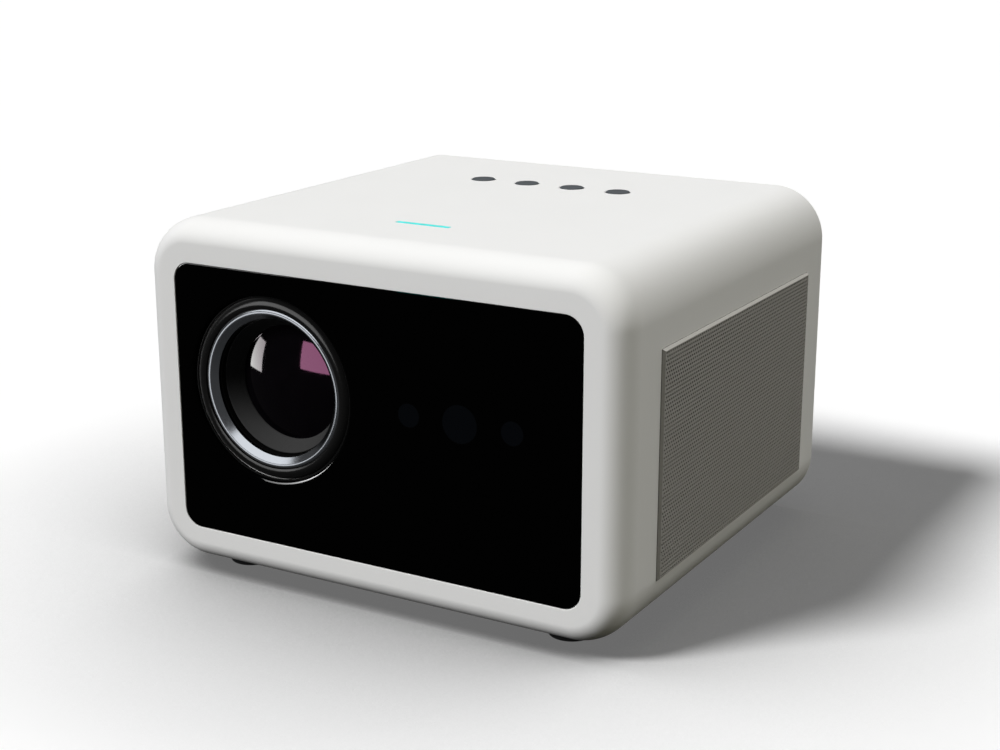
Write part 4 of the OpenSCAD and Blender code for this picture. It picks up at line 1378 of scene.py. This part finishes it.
@dataclass
class Underside:
    """Four rubber feet with a rounded tread and a groove."""

    radius: float = 8.0
    height: float = 4.0
    edge: float = 0.5
    shoulder: float = 0.2
    dimple: Triple = (2.2, 2.5, 0.25)
    groove: Quad = (5.6, 0.6, 0.3, 0.5)
    peg: Pair = (3.0, 6.6)
    edge_steps: int = 8
    steps: int = 64

    def foot(self, x: float, y: float) -> Shape:
        """Foot turned about its peg.

        Args:
            x: Its place across.
            y: Its place along.

        Returns:
            The shape.
        """
        flat, rise, sunk = self.dimple
        middle, wide, narrow, deep = self.groove
        tread = [(0.0, sunk), (flat, sunk), (rise, 0.0), (middle - wide, 0.0), (middle - narrow, deep),
                 (middle + narrow, deep), (middle + wide, 0.0)]
        side = arc((self.radius - self.edge, self.edge), self.edge, -90, 0, self.edge_steps)
        peg_r, peg_top = self.peg
        top = [(self.radius, self.height - self.shoulder), (self.radius - self.shoulder, self.height),
               (peg_r, self.height), (peg_r, peg_top), (0.0, peg_top)]
        return Shape().lathe([*tread, *side, *top], Spindle((x, y, 0.0)), self.steps)

    def build(self, bench: Bench) -> None:
        """Builds the feet under the corners.

        Args:
            bench: Where the pieces get their finish and place.
        """
        for end, y in (("front", -FEET_AT[1]), ("rear", FEET_AT[1])):
            for side, x in (("left", -FEET_AT[0]), ("right", FEET_AT[0])):
                mesh = self.foot(x, y).mesh(f"foot_pad_{end}_{side}")
                bench.settle(mesh, Body.CASE, "foot_rubber", [f"foot_{end}_{side}"])


@dataclass
class Back:
    """Vented cover, port plate, screws and sockets at the back, with rounded edges."""

    softened: tuple[tuple[str, float], ...] = (
        ("rear_cover", 0.3), ("port_plate", 0.3), ("rear_cover_screws", 0.15), ("mains_inlet", 0.3),
        ("audio_jack", 0.2), ("tripod_insert", 0.25))
    socket_slot: str = "socket_metal"
    socket_edge: float = 0.12

    def build(self, bench: Bench) -> None:
        """Puts rounded copies in place of the plain solids.

        Args:
            bench: Where the pieces get their finish and place.
        """
        for node, width in self.softened:
            bench.soften(node, node + "_moulded", width)
        sockets = [part["node"] for part in SUBPARTS if part["material_slot"] == self.socket_slot]
        for number, node in enumerate(sockets, 1):
            bench.soften(node, f"signal_socket_{number}", self.socket_edge)


@dataclass(frozen=True)
class Reach:
    """Objects that a lamp lights: only those named, or all but those named."""

    names: tuple[str, ...]
    only: bool = True

    def tie(self, lamp: bpy.types.Object) -> None:
        """Binds a lamp to its objects.

        Args:
            lamp: The lamp.
        """
        group = bpy.data.collections.new(lamp.name + "_lights")
        for name in self.names:
            group.objects.link(bpy.data.objects[name])
        for each in group.collection_objects:
            each.light_linking.link_state = "INCLUDE" if self.only else "EXCLUDE"
        lamp.light_linking.receiver_collection = group


@dataclass(frozen=True)
class Sun:
    """Far lamp with a soft edge, which reflections don't show."""

    name: str
    reach: Reach
    towards: Triple
    strength: float
    spread: float
    colour: Colour = (1.0, 1.0, 1.0)

    def hang(self) -> None:
        """Puts the lamp into the scene."""
        data = bpy.data.lights.new(self.name, "SUN")
        data.energy, data.angle, data.color = self.strength, math.radians(self.spread), self.colour
        made = stand(self.name, data)
        made.rotation_euler = Vector(self.towards).to_track_quat("Z", "Y").to_euler()
        made.visible_glossy = False
        self.reach.tie(made)


@dataclass(frozen=True)
class Softbox:
    """Lamp with an oblong face that stands before the lens and shows only in reflections."""

    name: str
    reach: Reach
    turn: Pair
    distance: float
    roll: float
    span: Quad
    radiance: float
    colour: Colour = (1.0, 1.0, 1.0)
    centre: Triple = (-41.0, -76.0, 74.0)

    def hang(self) -> None:
        """Puts the lamp into the scene, its face towards the lens."""
        left, right, low, high = (v * MM for v in self.span)
        data = bpy.data.lights.new(self.name, "AREA")
        data.shape, data.size, data.size_y = "RECTANGLE", right - left, high - low
        data.energy, data.color = self.radiance * math.pi * data.size * data.size_y, self.colour
        made = stand(self.name, data)
        azimuth, elevation = (math.radians(a) for a in self.turn)
        aim = Matrix.Rotation(azimuth, 4, "Z") @ Matrix.Rotation(math.pi / 2 - elevation, 4, "X")
        face = aim @ Matrix.Rotation(math.radians(self.roll), 4, "Z")
        shift = Matrix.Translation(((left + right) / 2, (low + high) / 2, self.distance * MM))
        made.matrix_world = Matrix.Translation(Vector(self.centre) * MM) @ face @ shift
        made.visible_camera = made.visible_diffuse = False
        self.reach.tie(made)


BLACK: Colour = (0.0, 0.0, 0.0)
ON_CASE = Reach((FLOOR, SLEEVE), only=False)
ON_GLASS, ON_CHROME = Reach((GLASS,)), Reach((CHROME,))


@dataclass
class Studio:
    """Pale floor, camera and lamps."""

    floor_size: float = 24.0
    floor_pale: Colour = (0.985, 0.985, 0.985)
    floor_bounce: Colour = (0.025, 0.025, 0.025)
    floor_glow: Colour = (0.145, 0.145, 0.145)
    # Reach and cover of the painted contact shadow that darkens the floor near the object
    painted_shade_reach: float = 0.16
    painted_shade_cover: float = 0.35
    floor_samples: int = 12
    floor_cloud: float = 0.12
    floor_squares: int = 8
    camera_at: Triple = (0.31856, -0.54893, 0.24548)
    camera_turn: Pair = (30.006, 15.923)
    focal: float = 63.08
    sensor: float = 36.0
    clip: Pair = (0.01, 100.0)
    suns: tuple[Sun, ...] = (
        Sun("floor_key", Reach((FLOOR,)), (-0.408, -0.562, 0.719), 3.72, 16.0),
        Sun("soft_key", ON_CASE, (0.2, 0.33, 0.923), 2.4, 120.0),
        Sun("front_fill", ON_CASE, (-0.358, -0.769, 0.53), 2.5, 24.0),
        Sun("rim_light", Reach(("grille_right_perforated",)), (0.08, 0.0, 0.997), 3.2, 10.0),
        Sun("barrel_key", Reach((SLEEVE,)), (-0.32, -0.52, 0.79), 4.0, 30.0),
        Sun("warm_fill", ON_CASE, (0.94, -0.15, 0.3), 0.13, 60.0, (1.0, 0.85, 0.0)))
    boxes: tuple[Softbox, ...] = (
        Softbox("left_box", ON_GLASS, (-70.0, 8.0), 300.0, -9.0,
                (-190.0, 70.0, -98.0, 0.0), 66.0, (0.92, 1.05, 0.95)),
        Softbox("front_box", ON_GLASS, (-8.0, 12.0), 330.0, -4.0,
                (-85.0, 115.0, -101.0, 16.0), 80.0, (1.0, 0.6, 0.8)),
        Softbox("edge_box", Reach((PANE,)), (-75.0, 30.0), 300.0, 45.0, (-160.0, 160.0, -85.0, 85.0), 240.0),
        Softbox("nose_box", Reach((NOSE,)), (-25.0, 22.0), 400.0, 0.0, (-230.0, 230.0, -150.0, 200.0), 7.0),
        Softbox("chrome_box", ON_CHROME, (-30.0, 52.0), 400.0, 0.0, (-330.0, 330.0, -150.0, 150.0), 2.9),
        Softbox("crest_box", ON_CHROME, (-30.0, -14.0), 180.0, 0.0, (-70.0, 70.0, -18.0, 110.0), 2.2))
    sky_dim: Colour = (0.03, 0.03, 0.03)
    sky_pale: Colour = (1.0, 1.0, 1.0)
    clear_of_glass: tuple[str, ...] = (SLEEVE, GLASS, NOSE, CHROME, PANE, SEAL, SHELL)

    def floor_material(self) -> bpy.types.Material:
        """Floor paint: pale to the eye, with painted shade that darkens it near the object as a contact
        shadow, dim in reflections and dark for the light it throws back.

        Returns:
            The finished material.
        """
        net = Net("floor_paint")
        cloud = net.noise(net.place(), self.floor_cloud, 3.0)
        # Painted shade: ambient occlusion darkens the floor's colour near the object, a painted contact
        # shadow.
        clear = net.node("ShaderNodeAmbientOcclusion", {"samples": self.floor_samples},
                         {"Distance": self.painted_shade_reach}, "AO")
        painted_shade_factor = (clear - self.painted_shade_cover) / (1 - self.painted_shade_cover)
        seen = net.seen()
        shown = net.blend(painted_shade_factor, BLACK, self.floor_pale)
        return net.surface(
            Base_Color=net.blend(seen, self.floor_bounce, shown),
            Roughness=0.85 + cloud * 0.1,
            Specular_IOR_Level=0.0,
            Emission_Color=net.blend(seen, BLACK, self.floor_glow),
            Emission_Strength=1.0)

    def floor(self) -> None:
        """Lays the floor, its top level with the feet."""
        work = bmesh.new()
        squares = self.floor_squares
        bmesh.ops.create_grid(work, x_segments=squares, y_segments=squares, size=self.floor_size / 2)
        mesh = bpy.data.meshes.new(FLOOR)
        work.to_mesh(mesh)
        work.free()
        mesh.materials.append(self.floor_material())
        made = stand(FLOOR, mesh)

    def camera(self) -> None:
        """Sets up the camera where the photograph was taken from."""
        data = bpy.data.cameras.new("camera")
        data.lens, data.sensor_width, data.sensor_fit = self.focal, self.sensor, "HORIZONTAL"
        data.clip_start, data.clip_end = self.clip
        made = stand("camera", data)
        made.location = self.camera_at
        turn, rise = (math.radians(a) for a in self.camera_turn)
        made.rotation_euler = (math.pi / 2 - rise, 0.0, turn)
        bpy.context.scene.camera = made

    def world(self) -> None:
        """Sets the sky: white to the eye, dim for the light it gives."""
        net = Net("sky", sky=True)
        colour = net.blend(net.seen(), self.sky_dim, self.sky_pale)
        glow = net.node("ShaderNodeBackground", None, {"Color": colour})
        net.node("ShaderNodeOutputWorld", None, {"Surface": glow})
        bpy.context.scene.world = net.owner

    def build(self) -> None:
        """Sets up the whole studio."""
        self.floor()
        self.camera()
        for lamp in (*self.suns, *self.boxes):
            lamp.hang()
        for name in self.clear_of_glass:
            bpy.data.objects[name].visible_glossy = False
        self.world()
        bpy.context.scene.view_settings.view_transform = "Standard"


STEEL: Colour = (0.5, 0.5, 0.5)
FINISHES: dict[str, Finish] = {
    "shell_plastic": Moulding("white_shell", (0.8, 0.8, 0.795), 0.5, mottle=0.012, gloss_level=0.12),
    "port_plate_plastic": Moulding("port_plate_grey", (0.1, 0.105, 0.11), 0.5),
    "front_glass_black": PanelGlass("front_glass_black", tuple(
        (x * MM, LENS_Z * MM, (r - SENSOR_RIM) * MM) for x, r in SENSORS)),
    "screw_steel": Metal("screw_steel_dark", (0.12, 0.12, 0.125), 0.38),
    "grille_metal": Moulding("grille_paint", (0.285, 0.277, 0.258), 0.55, grain_size=0.2 * MM,
                             gloss_level=0.15),
    # Painted shade: the near-black floor of each grille hole.
    "grille_hole_shade": Foam("grille_cloth_black", (0.012, 0.012, 0.012), 0.3 * MM),
    "foot_rubber": Moulding("foot_rubber_black", (0.02, 0.02, 0.021), 0.75, grain_depth=0.02 * MM),
    "insert_brass": Metal("insert_brass", (0.72, 0.5, 0.2), 0.32),
    "chassis_steel": Metal("chassis_zinc", STEEL, 0.45, hairline=0.3 * MM),
    "button_plastic": Moulding("button_slate", (0.075, 0.085, 0.095), 0.4),
    "circuit_board": CircuitBoard("board_green", (0.012, 0.07, 0.035), (0.03, 0.14, 0.06)),
    "power_board_resin": CircuitBoard("power_board_tan", (0.24, 0.15, 0.06), (0.34, 0.22, 0.1), 2.4 * MM),
    "switch_plastic": Moulding("switch_black", (0.03, 0.03, 0.03), 0.5),
    "light_guide": LightGuide("light_guide_cyan", (0.02, 0.8, 0.76)),
    "lens_trim_black": Moulding("lens_trim_black", (0.004, 0.004, 0.004), 0.2, grain_depth=0.001 * MM,
                                gloss_level=0.15),
    "lens_trim_chrome": Metal("lens_trim_chrome", (0.22, 0.232, 0.25), 0.2, hairline_depth=0.0002 * MM,
                              tarnish=0.04),
    "lens_barrel_black": Moulding("barrel_black", (0.038, 0.038, 0.038), 0.6, gloss_level=0.1),
    "lens_glass": CoatedGlass("lens_glass_coated"),
    "gear_plastic": Moulding("gear_acetal", (0.6, 0.6, 0.57), 0.4),
    "motor_steel": Metal("motor_can", (0.6, 0.6, 0.6), 0.3),
    "engine_plastic": Moulding("engine_black", (0.025, 0.025, 0.027), 0.55),
    "lcd_glass": PixelGlass("lcd_glass"),
    "led_copper": Lamp("lamp_board", (LENS_X * MM, LENS_Z * MM), 9 * MM),
    "sink_aluminium": Metal("sink_aluminium", (0.75, 0.75, 0.76), 0.35),
    "fan_plastic": Moulding("fan_black", (0.022, 0.022, 0.024), 0.42),
    "filter_foam": Foam("filter_foam_grey", (0.06, 0.06, 0.062)),
    "socket_metal": Metal("socket_nickel", (0.62, 0.61, 0.58), 0.28),
    "socket_plastic": Moulding("socket_black", (0.018, 0.018, 0.019), 0.45),
    "speaker_steel": Metal("speaker_basket", (0.1, 0.1, 0.1), 0.5),
    "cone_paper": Foam("cone_paper_black", (0.03, 0.03, 0.032), 0.7 * MM),
    "sensor_black": Moulding("sensor_black", (0.01, 0.01, 0.012), 0.2),
}


def main() -> None:
    """Builds the projector piece by piece, then the studio round it."""
    logging.basicConfig(level=logging.INFO, format="%(name)s %(message)s")
    bench = Bench(FINISHES)
    Housing().build(bench)
    FrontGlass().build(bench)
    Lens().build(bench)
    for side, node in ((-1, "grille_left"), (1, "grille_right")):
        Grille(side, node).build(bench)
    TopControls().build(bench)
    Underside().build(bench)
    Back().build(bench)
    bench.dress()
    Studio().build()


if __name__ == "__main__":
    main()
